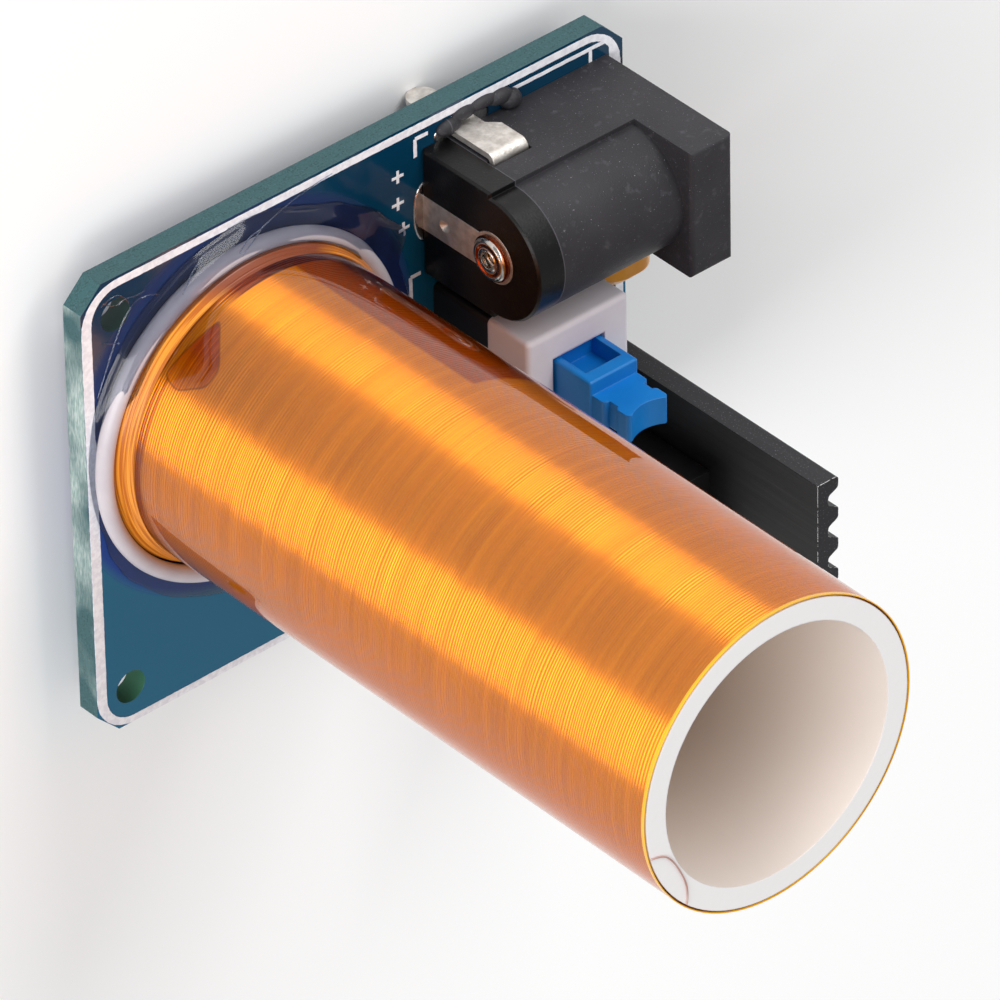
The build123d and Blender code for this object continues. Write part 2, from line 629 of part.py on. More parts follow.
def jack_side_terminal():
    """A blade that leaves the side wall, turns down and passes through the board."""
    level = BOARD_TOP + SIDE_TERMINAL_HEIGHT - TERMINAL_THICKNESS / 2
    inner_y = JACK_Y + JACK_BORE_DIAMETER / 2 + SLIT_CLEARANCE
    path = FilletPolyline(
        (inner_y, level), (SIDE_TERMINAL_Y, level), (SIDE_TERMINAL_Y, -TERMINAL_TAIL),
        radius=TERMINAL_THICKNESS,
    )
    profile = end_view(SIDE_TERMINAL_X - SIDE_TERMINAL_WIDTH / 2) * trace(path, TERMINAL_THICKNESS)
    shoulder = BOARD_TOP + TERMINAL_SHOULDER
    upper = Rectangle(SIDE_TERMINAL_WIDTH, SIDE_TERMINAL_HEIGHT)
    step = SIDE_TERMINAL_WIDTH - TERMINAL_TAIL_WIDTH
    upper = chamfer(upper.vertices().sort_by(Axis.Y)[:2].sort_by(Axis.X)[-1], step)
    outline = Pos(SIDE_TERMINAL_X, shoulder + SIDE_TERMINAL_HEIGHT / 2) * upper
    outline += tail_outline(SIDE_TAIL_X, shoulder, TERMINAL_TAIL_WIDTH)
    front = side_view(SIDE_TERMINAL_Y + JACK_WIDTH) * outline
    return extrude(profile, SIDE_TERMINAL_WIDTH) & extrude(front, 2 * JACK_WIDTH)


def jack_sleeve_spring():
    """The leaf that presses on the plug's sleeve, with its own tail through the board."""
    bore_floor = JACK_AXIS - JACK_BORE_DIAMETER / 2
    bed = BOARD_TOP + LEAF_BED + LEAF_LIFT
    crown_x = JACK_MOUTH - JACK_FLANGE - LEAF_CROWN_INSET
    path = FilletPolyline(
        (SLEEVE_TERMINAL_X, -TERMINAL_TAIL),
        (SLEEVE_TERMINAL_X, bed),
        (crown_x, bore_floor + LEAF_CROWN),
        (crown_x + LEAF_NOSE_RUN, bed + LEAF_NOSE_RISE),
        radius=LEAF_BEND,
    )
    profile = side_view(JACK_Y + TERMINAL_TAIL_WIDTH / 2) * trace(path, TERMINAL_THICKNESS)
    return extrude(profile, TERMINAL_TAIL_WIDTH)


# ---------------------------------------------------------------- push switch

def switch_shell(z_low, z_high):
    half = SWITCH_SIZE / 2
    return block(SWITCH_X - half, SWITCH_X + half, SWITCH_Y - half, SWITCH_Y + half, z_low, z_high)


def switch_cavity(z_low, z_high):
    half = SWITCH_SIZE / 2 - SWITCH_WALL
    return block(SWITCH_X - half, SWITCH_X + half, SWITCH_Y - half, SWITCH_Y + half, z_low, z_high)


def switch_base():
    base = switch_shell(BOARD_TOP, SWITCH_SEAM)
    base = fillet(base.edges().filter_by(Axis.Z), SWITCH_EDGE / 2)
    base -= switch_cavity(SWITCH_FLOOR_TOP, SWITCH_SEAM)
    for blade in switch_pin_blades(SLIT_CLEARANCE / 3):
        base -= blade
    wire_radius = LATCH_WIRE / 2
    return base - Pos(latch_x(), SWITCH_Y, BOARD_TOP) * extrude(Circle(wire_radius), SWITCH_FLOOR)


def switch_cover():
    cover = switch_shell(SWITCH_SEAM, SWITCH_TOP)
    upper = cover.edges().filter_by(Axis.Z) + cover.faces().sort_by(Axis.Z)[-1].edges()
    cover = fillet(upper, SWITCH_EDGE / 2)
    cover -= switch_cavity(SWITCH_SEAM, SWITCH_CEILING)
    opening = STEM_SIZE + 2 * STEM_CLEARANCE
    window = extrude(Rectangle(opening, opening), SWITCH_WALL)
    return cover - Pos(SWITCH_X, SWITCH_Y, SWITCH_CEILING) * window


def stem_outline():
    """The stem's view along Y above its square block: neck, side grooves and dished head."""
    levels = [SWITCH_TOP + STEM_RISE]
    for length in (STEM_NECK_LENGTH, STEM_GROOVE_LENGTH, STEM_HEAD_LENGTH):
        levels.append(levels[-1] + length)
    outlines = []
    widths = (STEM_NECK_WIDTH, STEM_GROOVE_WIDTH, STEM_HEAD_WIDTH)
    for width, low, high in zip(widths, levels, levels[1:]):
        outlines.append(Pos(SWITCH_X, (low + high) / 2) * Rectangle(width, high - low))
    neck, groove, head = outlines
    neck = fillet(neck.vertices().sort_by(Axis.Y)[-2:], STEM_CORNER)
    head = fillet(head.vertices(), STEM_CORNER)
    half_dish = STEM_HEAD_WIDTH / 2 - STEM_CORNER
    dish_radius = (half_dish**2 + STEM_HEAD_DISH**2) / (2 * STEM_HEAD_DISH)
    dish = Pos(SWITCH_X, levels[-1] - STEM_HEAD_DISH + dish_radius) * Circle(dish_radius)
    return neck + groove + head - dish


def switch_stem():
    """The blue slider: a square block with a pocket, a stepped neck and a T-shaped head."""
    block_top = SWITCH_TOP + STEM_RISE
    half = STEM_SIZE / 2
    side = SWITCH_Y + half
    body = block(SWITCH_X - half, SWITCH_X + half, SWITCH_Y - half, side, SLIDER_TOP, block_top)
    body = fillet(body.edges().filter_by(Axis.Z), STEM_EDGE)
    body = chamfer(body.faces().sort_by(Axis.Z)[-1].edges(), STEM_EDGE / 2)
    body -= block(
        SWITCH_X - half + STEM_POCKET_WALL, SWITCH_X + half - STEM_POCKET_WALL,
        side - STEM_POCKET_DEPTH, side,
        SWITCH_TOP - SWITCH_WALL / 2, block_top - STEM_POCKET_SILL,
    )
    neck = side_view(SWITCH_Y + STEM_NECK_THICKNESS / 2) * stem_outline()
    body += extrude(neck, STEM_NECK_THICKNESS)
    slider_end = SWITCH_X + SLIDER_LENGTH / 2
    body += block(
        SWITCH_X - SLIDER_LENGTH / 2, slider_end,
        SWITCH_Y - SLIDER_WIDTH / 2, SWITCH_Y + SLIDER_WIDTH / 2,
        SLIDER_BOTTOM, SLIDER_TOP,
    )
    chamber = Circle(SPRING_DIAMETER / 2 + SPRING_CLEARANCE)
    body -= Pos(SWITCH_X, SWITCH_Y, SLIDER_BOTTOM) * extrude(chamber, SPRING_POCKET_TOP - SLIDER_BOTTOM)
    return body - block(
        slider_end - LATCH_TRACK_DEPTH, slider_end,
        SWITCH_Y - LATCH_WIRE, SWITCH_Y + LATCH_WIRE,
        SLIDER_BOTTOM, SLIDER_TOP,
    )


def switch_spring():
    """The return spring, from the base's floor up into the slider."""
    mean_radius = (SPRING_DIAMETER - SPRING_WIRE) / 2
    length = SPRING_POCKET_TOP - SWITCH_FLOOR_TOP - SPRING_WIRE
    coil = Helix(pitch=length / SPRING_COILS, height=length, radius=mean_radius)
    coil = Pos(SWITCH_X, SWITCH_Y, SWITCH_FLOOR_TOP + SPRING_WIRE / 2) * coil
    return wire(coil, SPRING_WIRE, SPRING_SIDES)


def switch_contacts():
    """Two sliding bridges, one on each long side of the slider."""
    bridges = []
    for side in (-1, 1):
        near = SWITCH_Y + side * SLIDER_WIDTH / 2
        far = near + side * CONTACT_THICKNESS
        bridges.append(block(
            SWITCH_X - SLIDER_LENGTH / 2, SWITCH_X + SLIDER_LENGTH / 2,
            min(near, far), max(near, far), SLIDER_BOTTOM, SLIDER_BOTTOM + CONTACT_HEIGHT,
        ))
    return bridges


def switch_pin_blades(clearance):
    """Six flat pins, each from beside the slider down through the floor and the board."""
    blades = []
    half_width = SWITCH_PIN_WIDTH / 2 + clearance
    half_thickness = SWITCH_PIN_THICKNESS / 2 + clearance
    for row in (-1, 1):
        for step in (-1, 0, 1):
            x = SWITCH_X + step * SWITCH_PIN_PITCH
            y = SWITCH_Y + row * SWITCH_PIN_ROW
            blades.append(block(
                x - half_width, x + half_width, y - half_thickness, y + half_thickness,
                -LEAD_TAIL, BOARD_TOP + SWITCH_PIN_RISE,
            ))
    return blades


def latch_x():
    return SWITCH_X + SLIDER_LENGTH / 2 + SLIDER_GAP + LATCH_WIRE / 2


def switch_latch_wire():
    """The bent wire that catches in the slider's side and holds it down."""
    hook_level = SLIDER_BOTTOM + LATCH_HOOK_HEIGHT
    path = FilletPolyline(
        (latch_x(), SWITCH_Y, BOARD_TOP + LATCH_FOOT),
        (latch_x(), SWITCH_Y, hook_level),
        (latch_x() - LATCH_HOOK, SWITCH_Y, hook_level),
        radius=LATCH_BEND,
    )
    return wire(path, LATCH_WIRE)


# ---------------------------------------------------------------- heatsink and transistor

def heatsink():
    """An extruded plate, flat towards the transistor and fluted on the other side."""
    valley_x = HEATSINK_X + HEATSINK_PLATE
    tip_x = valley_x + RIB_DEPTH
    profile = Pos(HEATSINK_X + HEATSINK_DEPTH / 2, HEATSINK_Y) * Rectangle(HEATSINK_DEPTH, HEATSINK_WIDTH)
    half_mouth = (RIB_PITCH - RIB_THICKNESS) / 2
    half_floor = GROOVE_FLOOR / 2
    for index in range(RIB_COUNT - 1):
        groove_y = HEATSINK_Y + (index - (RIB_COUNT - 2) / 2) * RIB_PITCH
        corners = [(0, -half_floor), (RIB_DEPTH, -half_mouth), (RIB_DEPTH, half_mouth), (0, half_floor)]
        profile -= Pos(valley_x, groove_y) * Polygon(*corners, align=None)
    for level, radius in ((tip_x, RIB_TIP_RADIUS), (valley_x, RIB_ROOT_RADIUS)):
        corners = [corner for corner in profile.vertices() if abs(corner.X - level) < 1e-6]
        profile = fillet(corners, radius)
    plate = Pos(0, 0, BOARD_TOP) * extrude(profile, HEATSINK_HEIGHT)
    return plate - rod_along_x(SCREW_HOLE_RADIUS, HEATSINK_X, tip_x, TRANSISTOR_Y, SCREW_LEVEL)


def collector_plate():
    top = TRANSISTOR_TOP - COLLECTOR_INSET
    plate = block(
        HEATSINK_X - COLLECTOR_THICKNESS, HEATSINK_X,
        TRANSISTOR_Y - COLLECTOR_WIDTH / 2, TRANSISTOR_Y + COLLECTOR_WIDTH / 2,
        top - COLLECTOR_LENGTH, top,
    )
    front = HEATSINK_X - COLLECTOR_THICKNESS
    return plate - rod_along_x(SCREW_HOLE_RADIUS, front, HEATSINK_X, TRANSISTOR_Y, SCREW_LEVEL)


def transistor_leads():
    leads = []
    half_thickness = TRANSISTOR_LEAD_THICKNESS / 2
    half_width = TRANSISTOR_LEAD_WIDTH / 2
    for step in (-1, 0, 1):
        y = TRANSISTOR_Y + step * TRANSISTOR_LEAD_PITCH
        leads.append(block(
            TRANSISTOR_LEAD_X - half_thickness, TRANSISTOR_LEAD_X + half_thickness,
            y - half_width, y + half_width, -LEAD_TAIL, TRANSISTOR_BOTTOM,
        ))
    return leads


def transistor_body():
    body = block(
        HEATSINK_X - TRANSISTOR_THICKNESS, HEATSINK_X,
        TRANSISTOR_Y - TRANSISTOR_WIDTH / 2, TRANSISTOR_Y + TRANSISTOR_WIDTH / 2,
        TRANSISTOR_BOTTOM, TRANSISTOR_TOP,
    )
    body = chamfer(body.faces().sort_by(Axis.X)[0].edges(), TRANSISTOR_BEVEL)
    body -= collector_plate()
    front = HEATSINK_X - TRANSISTOR_THICKNESS
    return body - rod_along_x(SCREW_HOLE_RADIUS, front, HEATSINK_X, TRANSISTOR_Y, SCREW_LEVEL)


def clamp_screw():
    """A pan-head screw through the transistor and the heatsink."""
    front = HEATSINK_X - TRANSISTOR_THICKNESS
    end = HEATSINK_X + HEATSINK_DEPTH + NUT_HEIGHT + SCREW_END
    shank = rod_along_x(SCREW_DIAMETER / 2, front, end, TRANSISTOR_Y, SCREW_LEVEL)
    shank = chamfer(shank.edges().sort_by(Axis.X)[-1], SCREW_TIP_BEVEL)
    head = rod_along_x(SCREW_HEAD_DIAMETER / 2, front - SCREW_HEAD_HEIGHT, front, TRANSISTOR_Y, SCREW_LEVEL)
    head = chamfer(head.edges().sort_by(Axis.X)[0], SCREW_HEAD_BEVEL)
    screw = shank + head
    reach = SCREW_SLOT_LENGTH / 2
    half = SCREW_SLOT_WIDTH / 2
    face = front - SCREW_HEAD_HEIGHT
    for tall, wide in ((reach, half), (half, reach)):
        screw -= block(
            face, face + SCREW_SLOT_DEPTH,
            TRANSISTOR_Y - wide, TRANSISTOR_Y + wide, SCREW_LEVEL - tall, SCREW_LEVEL + tall,
        )
    return screw


def clamp_nut():
    start = HEATSINK_X + HEATSINK_DEPTH
    hexagon = RegularPolygon(NUT_WIDTH / 2, 6, major_radius=False) - Circle(SCREW_DIAMETER / 2)
    return extrude(end_view(start) * Pos(TRANSISTOR_Y, SCREW_LEVEL) * hexagon, NUT_HEIGHT)


# ---------------------------------------------------------------- small parts

def capacitor_body():
    """A dipped disc: a rounded outline with softened rims."""
    middle = BOARD_TOP + CAPACITOR_STANDOFF + CAPACITOR_HEIGHT / 2
    outline = RectangleRounded(CAPACITOR_LENGTH, CAPACITOR_HEIGHT, CAPACITOR_ROUND)
    front = side_view(CAPACITOR_Y + CAPACITOR_THICKNESS / 2)
    body = extrude(front * Pos(CAPACITOR_X, middle) * outline, CAPACITOR_THICKNESS)
    faces = body.faces().sort_by(Axis.Y)
    return chamfer(faces[0].edges() + faces[-1].edges(), CAPACITOR_BEVEL)


def capacitor_leads():
    """Two wires that spread from the body to the holes."""
    inner = CAPACITOR_LENGTH / 2 - CAPACITOR_LEAD_INSET
    outer = CAPACITOR_LEAD_PITCH / 2
    top = BOARD_TOP + CAPACITOR_STANDOFF
    leads = []
    for side in (-1, 1):
        path = FilletPolyline(
            (CAPACITOR_X + side * inner, CAPACITOR_Y, top),
            (CAPACITOR_X + side * inner, CAPACITOR_Y, top - LEAD_KINK),
            (CAPACITOR_X + side * outer, CAPACITOR_Y, BOARD_TOP + LEAD_KINK / 2),
            (CAPACITOR_X + side * outer, CAPACITOR_Y, -LEAD_TAIL),
            radius=LEAD_BEND,
        )
        leads.append(wire(path, WIRE_LEAD))
    return leads


def led_lens():
    low = BOARD_TOP + LED_STANDOFF
    flange = Pos(LED_X, LED_Y, low) * extrude(Circle(LED_FLANGE_DIAMETER / 2), LED_FLANGE_HEIGHT)
    radius = LED_DIAMETER / 2
    straight = LED_HEIGHT - radius
    barrel = Pos(LED_X, LED_Y, low) * extrude(Circle(radius), straight)
    lens = flange + barrel
    levels = [(round_corners(LED_X, LED_Y, radius, LED_DOME_SIDES), low + straight)]
    for step in range(LED_DOME_STEPS):
        rise = math.radians(90 * (step + 0.5) / LED_DOME_STEPS)
        corners = round_corners(LED_X, LED_Y, radius * math.cos(rise), LED_DOME_SIDES)
        levels.append((corners, low + straight + radius * math.sin(rise)))
    for lower, upper in zip(levels, levels[1:]):
        lens += frustum(*lower, *upper)
    return lens - led_lead_bars()[0] - led_lead_bars()[1]


def led_lead_bars():
    bars = []
    half = WIRE_LEAD / 2
    for side in (-1, 1):
        x = LED_X + side * LED_LEAD_PITCH / 2
        inside = LED_X + side * LED_LEAD_INSET
        top = BOARD_TOP + LED_STANDOFF
        bar = block(x - half, x + half, LED_Y - half, LED_Y + half, -LEAD_TAIL, top)
        low_x, high_x = sorted((x + side * half, inside - side * half))
        bar += block(low_x, high_x, LED_Y - half, LED_Y + half, top - WIRE_LEAD, top)
        low_x, high_x = sorted((inside + side * half, inside - side * half))
        bar += block(low_x, high_x, LED_Y - half, LED_Y + half, top - WIRE_LEAD, top + LED_LEAD_DEPTH)
        bars.append(bar)
    return bars


def resistor_level():
    return BOARD_TOP + RESISTOR_STANDOFF + RESISTOR_END_DIAMETER / 2


def resistor_body():
    """A coated rod, a little thicker over the end caps."""
    level = resistor_level()
    half = RESISTOR_LENGTH / 2
    body = rod_along_x(RESISTOR_DIAMETER / 2, RESISTOR_X - half, RESISTOR_X + half, RESISTOR_Y, level)
    for side in (-1, 1):
        outer = RESISTOR_X + side * half
        inner = outer - side * RESISTOR_END_LENGTH
        cap = rod_along_x(RESISTOR_END_DIAMETER / 2, min(outer, inner), max(outer, inner), RESISTOR_Y, level)
        body += chamfer(cap.edges().filter_by(GeomType.CIRCLE), RESISTOR_END_BEVEL)
    return body


def resistor_leads():
    level = resistor_level()
    leads = []
    for side in (-1, 1):
        path = FilletPolyline(
            (RESISTOR_X + side * RESISTOR_LENGTH / 2, RESISTOR_Y, level),
            (RESISTOR_X + side * RESISTOR_LEAD_PITCH / 2, RESISTOR_Y, level),
            (RESISTOR_X + side * RESISTOR_LEAD_PITCH / 2, RESISTOR_Y, -LEAD_TAIL),
            radius=RESISTOR_LEAD_BEND,
        )
        leads.append(wire(path, WIRE_LEAD))
    return leads


# ---------------------------------------------------------------- build

loop = primary_loop()
pieces = {
    "circuit_board": circuit_board(),
    "coil_former": coil_former(),
    "secondary_winding": secondary_winding(),
    "insulating_film": insulating_film(),
    "free_end_lead": free_end_lead(),
    "primary_loop": loop,
    "glue_bead": glue_bead(),
    "jack_housing": jack_housing(),
    "jack_rear_cap": jack_rear_cap(),
    "jack_centre_pin": jack_centre_pin(),
    "jack_rear_terminal": jack_rear_terminal(),
    "jack_side_terminal": jack_side_terminal(),
    "jack_sleeve_spring": jack_sleeve_spring(),
    "switch_base": switch_base(),
    "switch_cover": switch_cover(),
    "switch_stem": switch_stem(),
    "switch_spring": switch_spring(),
    "switch_contacts": Compound(children=switch_contacts()),
    "switch_pins": Compound(children=switch_pin_blades(0)),
    "switch_latch_wire": switch_latch_wire(),
    "heatsink": heatsink(),
    "collector_plate": collector_plate(),
    "transistor_body": transistor_body(),
    "transistor_leads": Compound(children=transistor_leads()),
    "clamp_screw": clamp_screw(),
    "clamp_nut": clamp_nut(),
    "capacitor_body": capacitor_body(),
    "capacitor_leads": Compound(children=capacitor_leads()),
    "led_lens": led_lens(),
    "led_leads": Compound(children=led_lead_bars()),
    "resistor_body": resistor_body(),
    "resistor_leads": Compound(children=resistor_leads()),
}
leads = [piece for name, piece in pieces.items() if name.endswith(("leads", "terminal", "spring", "pins"))]
joints = [joint - loop for joint in solder_joints()]
for metal in leads:
    joints = [joint - metal for joint in joints]
pieces["solder_joints"] = Compound(children=joints)

for node, shape in pieces.items():
    save(node, shape)

print(f"{len(pieces)} nodes")
print(f"primary loop: least gap to itself {primary_self_gap():.2f} mm")
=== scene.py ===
# %% [markdown]
# This scene dresses a small resonant transformer: a coil of fine enamelled wire on a plastic tube,
# glued to a circuit board that also carries a power jack, a push switch, a transistor on its heatsink
# and a few small parts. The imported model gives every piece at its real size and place.
# Here the pieces get their finishes, and the forms that a solid model leaves plain get made:
# the clear glue, the print on the board, the solder and the round wires.

# %% Load the fixed frame
import math
import random

import bmesh
import bpy
from mathutils import Matrix, Vector, noise


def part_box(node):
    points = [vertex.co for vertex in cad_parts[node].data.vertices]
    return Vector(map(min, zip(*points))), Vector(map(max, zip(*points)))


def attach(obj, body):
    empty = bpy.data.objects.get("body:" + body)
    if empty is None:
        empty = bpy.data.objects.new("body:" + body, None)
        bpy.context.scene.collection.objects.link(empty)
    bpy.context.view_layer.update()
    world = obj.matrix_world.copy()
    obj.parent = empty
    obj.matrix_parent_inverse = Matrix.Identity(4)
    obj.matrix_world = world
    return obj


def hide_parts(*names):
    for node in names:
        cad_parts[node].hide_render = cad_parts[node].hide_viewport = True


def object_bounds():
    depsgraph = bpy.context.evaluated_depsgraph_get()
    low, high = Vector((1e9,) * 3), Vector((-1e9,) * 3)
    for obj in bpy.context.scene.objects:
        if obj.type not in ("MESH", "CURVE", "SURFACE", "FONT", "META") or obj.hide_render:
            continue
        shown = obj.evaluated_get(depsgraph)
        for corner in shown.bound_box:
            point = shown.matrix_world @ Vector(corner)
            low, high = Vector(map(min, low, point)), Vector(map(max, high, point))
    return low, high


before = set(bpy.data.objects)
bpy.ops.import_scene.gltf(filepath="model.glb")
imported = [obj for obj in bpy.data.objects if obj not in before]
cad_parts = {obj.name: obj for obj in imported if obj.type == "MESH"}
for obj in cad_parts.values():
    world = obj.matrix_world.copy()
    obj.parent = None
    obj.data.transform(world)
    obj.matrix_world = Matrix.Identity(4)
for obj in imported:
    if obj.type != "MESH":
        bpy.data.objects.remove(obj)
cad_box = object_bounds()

MM = 0.001
UP = (0, 0, 1)
random.seed(7)

# %% [markdown]
# Everything else is measured from the frame, so a piece made here always lands where the model has it.
# Two corners of a node's box give the board's faces, the coil's axis and the radii of its layers.

# %% Places taken from the frame
board_low, board_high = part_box("circuit_board")
film_low, film_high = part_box("insulating_film")
loop_low, loop_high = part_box("primary_loop")
tube_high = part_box("coil_former")[1]
winding_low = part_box("secondary_winding")[0]
cap_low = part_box("jack_rear_cap")[0]
jack_low, jack_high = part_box("jack_housing")
cover_low, cover_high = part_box("switch_cover")

BOARD_TOP = board_high.z
BOARD_UNDERSIDE = board_low.z
COIL_AXIS = (film_low + film_high) / 2
FILM_RADIUS = (film_high.x - film_low.x) / 2
TUBE_TOP = tube_high.z
LOOP_AXIS = (loop_low + loop_high) / 2
PRIMARY_WIRE = 1.1 * MM
PRIMARY_RADIUS = (loop_high.y - loop_low.y - PRIMARY_WIRE) / 2
PRIMARY_LEVEL = loop_high.z - PRIMARY_WIRE / 2
print(f"coil radius {FILM_RADIUS / MM:.2f} mm, top of the board {BOARD_TOP / MM:.2f} mm")

# %% [markdown]
# The camera stands where the photograph was taken: well back, with a long lens, looking down on the
# coil and rolled so that the coil points to the lower right. A level camera is turned to face the
# object first, and the roll is then one more turn about its own axis.

# %% Camera at the photograph's angle
CAMERA_PLACE = Vector((-380.54, 455.55, 480.02)) * MM
LOOKING = Vector((0.52123, -0.59810, -0.60876))
ROLL = math.radians(123.787)
LENS = 467.88

camera = bpy.data.objects.new("camera", bpy.data.cameras.new("camera"))
camera.data.lens = LENS
camera.data.sensor_width = 36
camera.data.clip_start = 0.05
level = LOOKING.to_track_quat("-Z", "Y").to_matrix().to_4x4()
camera.matrix_world = Matrix.Translation(CAMERA_PLACE) @ level @ Matrix.Rotation(ROLL, 4, "Z")
bpy.context.scene.collection.objects.link(camera)
bpy.context.scene.camera = camera
print("camera right", [round(part, 3) for part in camera.matrix_world.col[0][:3]])

# %% [markdown]
# Colours are picked as sRGB hex values, the kind a paint program shows. Blender's sockets take
# linear light, so one function turns the hex into that. One more function adds any shader node: it is
# told the node's kind, what goes into its sockets in their order, and its settings by name.

# %% Helpers for colours and nodes
def linear(colour):
    """An sRGB hex colour as linear red, green, blue and alpha."""
    parts = [int(colour[start:start + 2], 16) / 255 for start in (1, 3, 5)]
    return [part / 12.92 if part <= 0.04045 else ((part + 0.055) / 1.055) ** 2.4 for part in parts] + [1]


def add(tree, kind, *values, output=None, **settings):
    """Adds one shader node and gives the output named, or else the first one in use.

    The values fill its sockets in order: a number, a vector, a hex colour, or an output to link.
    """
    node = tree.nodes.new("ShaderNode" + kind)
    if kind == "Mix":  # every mix in this scene blends two colours
        node.data_type = "RGBA"
    for name, value in settings.items():
        setattr(node, name, value)
    in_use = [socket for socket in node.inputs if socket.enabled]
    for socket, value in zip(in_use, values):
        if isinstance(value, bpy.types.NodeSocket):
            tree.links.new(value, socket)
        elif value is not None:
            socket.default_value = linear(value) if isinstance(value, str) else value
    if output:
        return node.outputs[output]
    return next((result for result in node.outputs if result.enabled), None)


def finish(name, **sockets):
    """A new material with one Principled shader. Socket names come with _ for a space."""
    made = bpy.data.materials.new(name)
    made.use_nodes = True
    made.node_tree.nodes.clear()
    surface = add(made.node_tree, "BsdfPrincipled")
    for socket, value in sockets.items():
        surface.node.inputs[socket.replace("_", " ")].default_value = value
    add(made.node_tree, "OutputMaterial", surface)
    return made, made.node_tree, surface.node


print("orange #E78931 in linear light:", [round(part, 3) for part in linear("#E78931")])

# %% [markdown]
# Patterns are made from a point's own place, in millimetres, so their sizes are real sizes. The next
# helpers measure along a direction or from a point, mark what lies between two limits, make blotchy
# noise of a given width, and turn a pattern into bumps.

# %% Helpers for patterns
def place_mm(tree, stretch=(1, 1, 1)):
    """A point's place in millimetres, stretched along each axis."""
    place = add(tree, "TexCoord", output="Object")
    return add(tree, "VectorMath", place, [part / MM for part in stretch], operation="MULTIPLY")


def along(tree, direction):
    """How far a point lies along a direction, in millimetres for a direction of length 1."""
    return add(tree, "VectorMath", place_mm(tree), list(direction), operation="DOT_PRODUCT")


def distance_from(tree, middle, keep=(1, 1, 1)):
    """How far a point lies from another, in millimetres, along the axes that are kept."""
    away = add(tree, "VectorMath", place_mm(tree), [part / MM for part in middle], operation="SUBTRACT")
    kept = add(tree, "VectorMath", away, list(keep), operation="MULTIPLY")
    return add(tree, "VectorMath", kept, operation="LENGTH")


def within(tree, value, low, high):
    """1 between two limits, 0 outside them."""
    return add(tree, "Math", value, (low + high) / 2, (high - low) / 2, operation="COMPARE")


def cloud(tree, size_mm, stretch=(1, 1, 1), detail=2.0, low=0.4, high=0.6, to=(0, 1)):
    """Noise whose blotches are about size_mm wide, spread from low..high to the range in to."""
    blotches = add(tree, "TexNoise", place_mm(tree, stretch), 1 / size_mm, detail)
    return add(tree, "MapRange", blotches, low, high, *to)


def facing(tree, direction):
    """How much a face looks along a direction, from -1 to 1."""
    normal = add(tree, "NewGeometry", output="Normal")
    return add(tree, "VectorMath", normal, list(direction), operation="DOT_PRODUCT")


def relief(tree, shader, height, depth_mm, edge_mm=0.0, socket="Normal"):
    """Turns a height pattern into bump, over edges rounded by edge_mm for the light."""
    edge = add(tree, "Bevel", edge_mm * MM, samples=6) if edge_mm else None
    bump = add(tree, "Bump", 1.0, depth_mm * MM, None, height, edge)
    tree.links.new(bump, shader.inputs[socket])


print("pattern helpers ready")

# %% [markdown]
# The floor is plain and nearly white, and the world is an even white, so smooth faces mirror white.
# What draws the two gold bands down the coil is a pair of tall softboxes that stand upright, one each
# side of the camera. A coil of level wires spreads a reflection up and down but not round the tube,
# so each upright box shows as one straight band over the coil's whole length.

# %% Floor, world and two tall softboxes
WORLD_LIGHT = 0.44
SOFTBOX_POWER = 23.0
SOFTBOX_DISTANCE = 1.0
SOFTBOX_HEIGHT = 1.72
SOFTBOXES = ((74.5, 0.54), (173, 0.76))
FLOOR_SIZE = 6.0

world = bpy.data.worlds.new("studio")
world.use_nodes = True
background = world.node_tree.nodes["Background"]
background.inputs["Color"].default_value = linear("#FFFFFF")
background.inputs["Strength"].default_value = WORLD_LIGHT
bpy.context.scene.world = world

bpy.ops.mesh.primitive_plane_add(size=FLOOR_SIZE, location=(0, 0, cad_box[0][2]))
floor = bpy.context.object
floor.name = "floor"
floor_paint, _, _ = finish("pale_floor_paint", Base_Color=linear("#FBFBFB"), Roughness=0.9)
floor.data.materials.append(floor_paint)

for azimuth, width in SOFTBOXES:
    outward = Vector((math.cos(math.radians(azimuth)), math.sin(math.radians(azimuth)), 0))
    softbox = bpy.data.lights.new(f"softbox_{azimuth}", "AREA")
    softbox.shape = "RECTANGLE"
    softbox.size = width
    softbox.size_y = SOFTBOX_HEIGHT
    softbox.energy = SOFTBOX_POWER * width
    holder = bpy.data.objects.new(softbox.name, softbox)
    holder.visible_camera = False
    holder.location = Vector((COIL_AXIS.x, COIL_AXIS.y, SOFTBOX_HEIGHT / 2)) + outward * SOFTBOX_DISTANCE
    holder.rotation_euler = (-outward).to_track_quat("-Z", "Y").to_euler()
    bpy.context.scene.collection.objects.link(holder)

bpy.context.scene.view_settings.view_transform = "Standard"
print("softboxes at", [azimuth for azimuth, _ in SOFTBOXES], "degrees round the coil")

# %% [markdown]
# The board is glass-fibre laminate under a blue solder mask, an ink that cures to a glossy skin.
# Its sawn edges show the laminate itself: pale green, with fibres that run along the sheet. The walls of
# the drilled holes are painted darker, as painted shade that deepens towards +Y. A face's normal tells
# the top from the edges, so one material serves the whole solid. The ink is painted lighter towards -Y,
# a painted sheen. Where the coil's glue lies on it, the ink looks wet: bluer and deeper. It mirrors
# almost nothing there, because ink and glue bend light alike, so it is made matt.

# %% Solder mask over glass-fibre laminate
WET_REACH = 12.9
CORNER_INSET = 0.9
MATT, GLOSSY = 0.65, 0.13


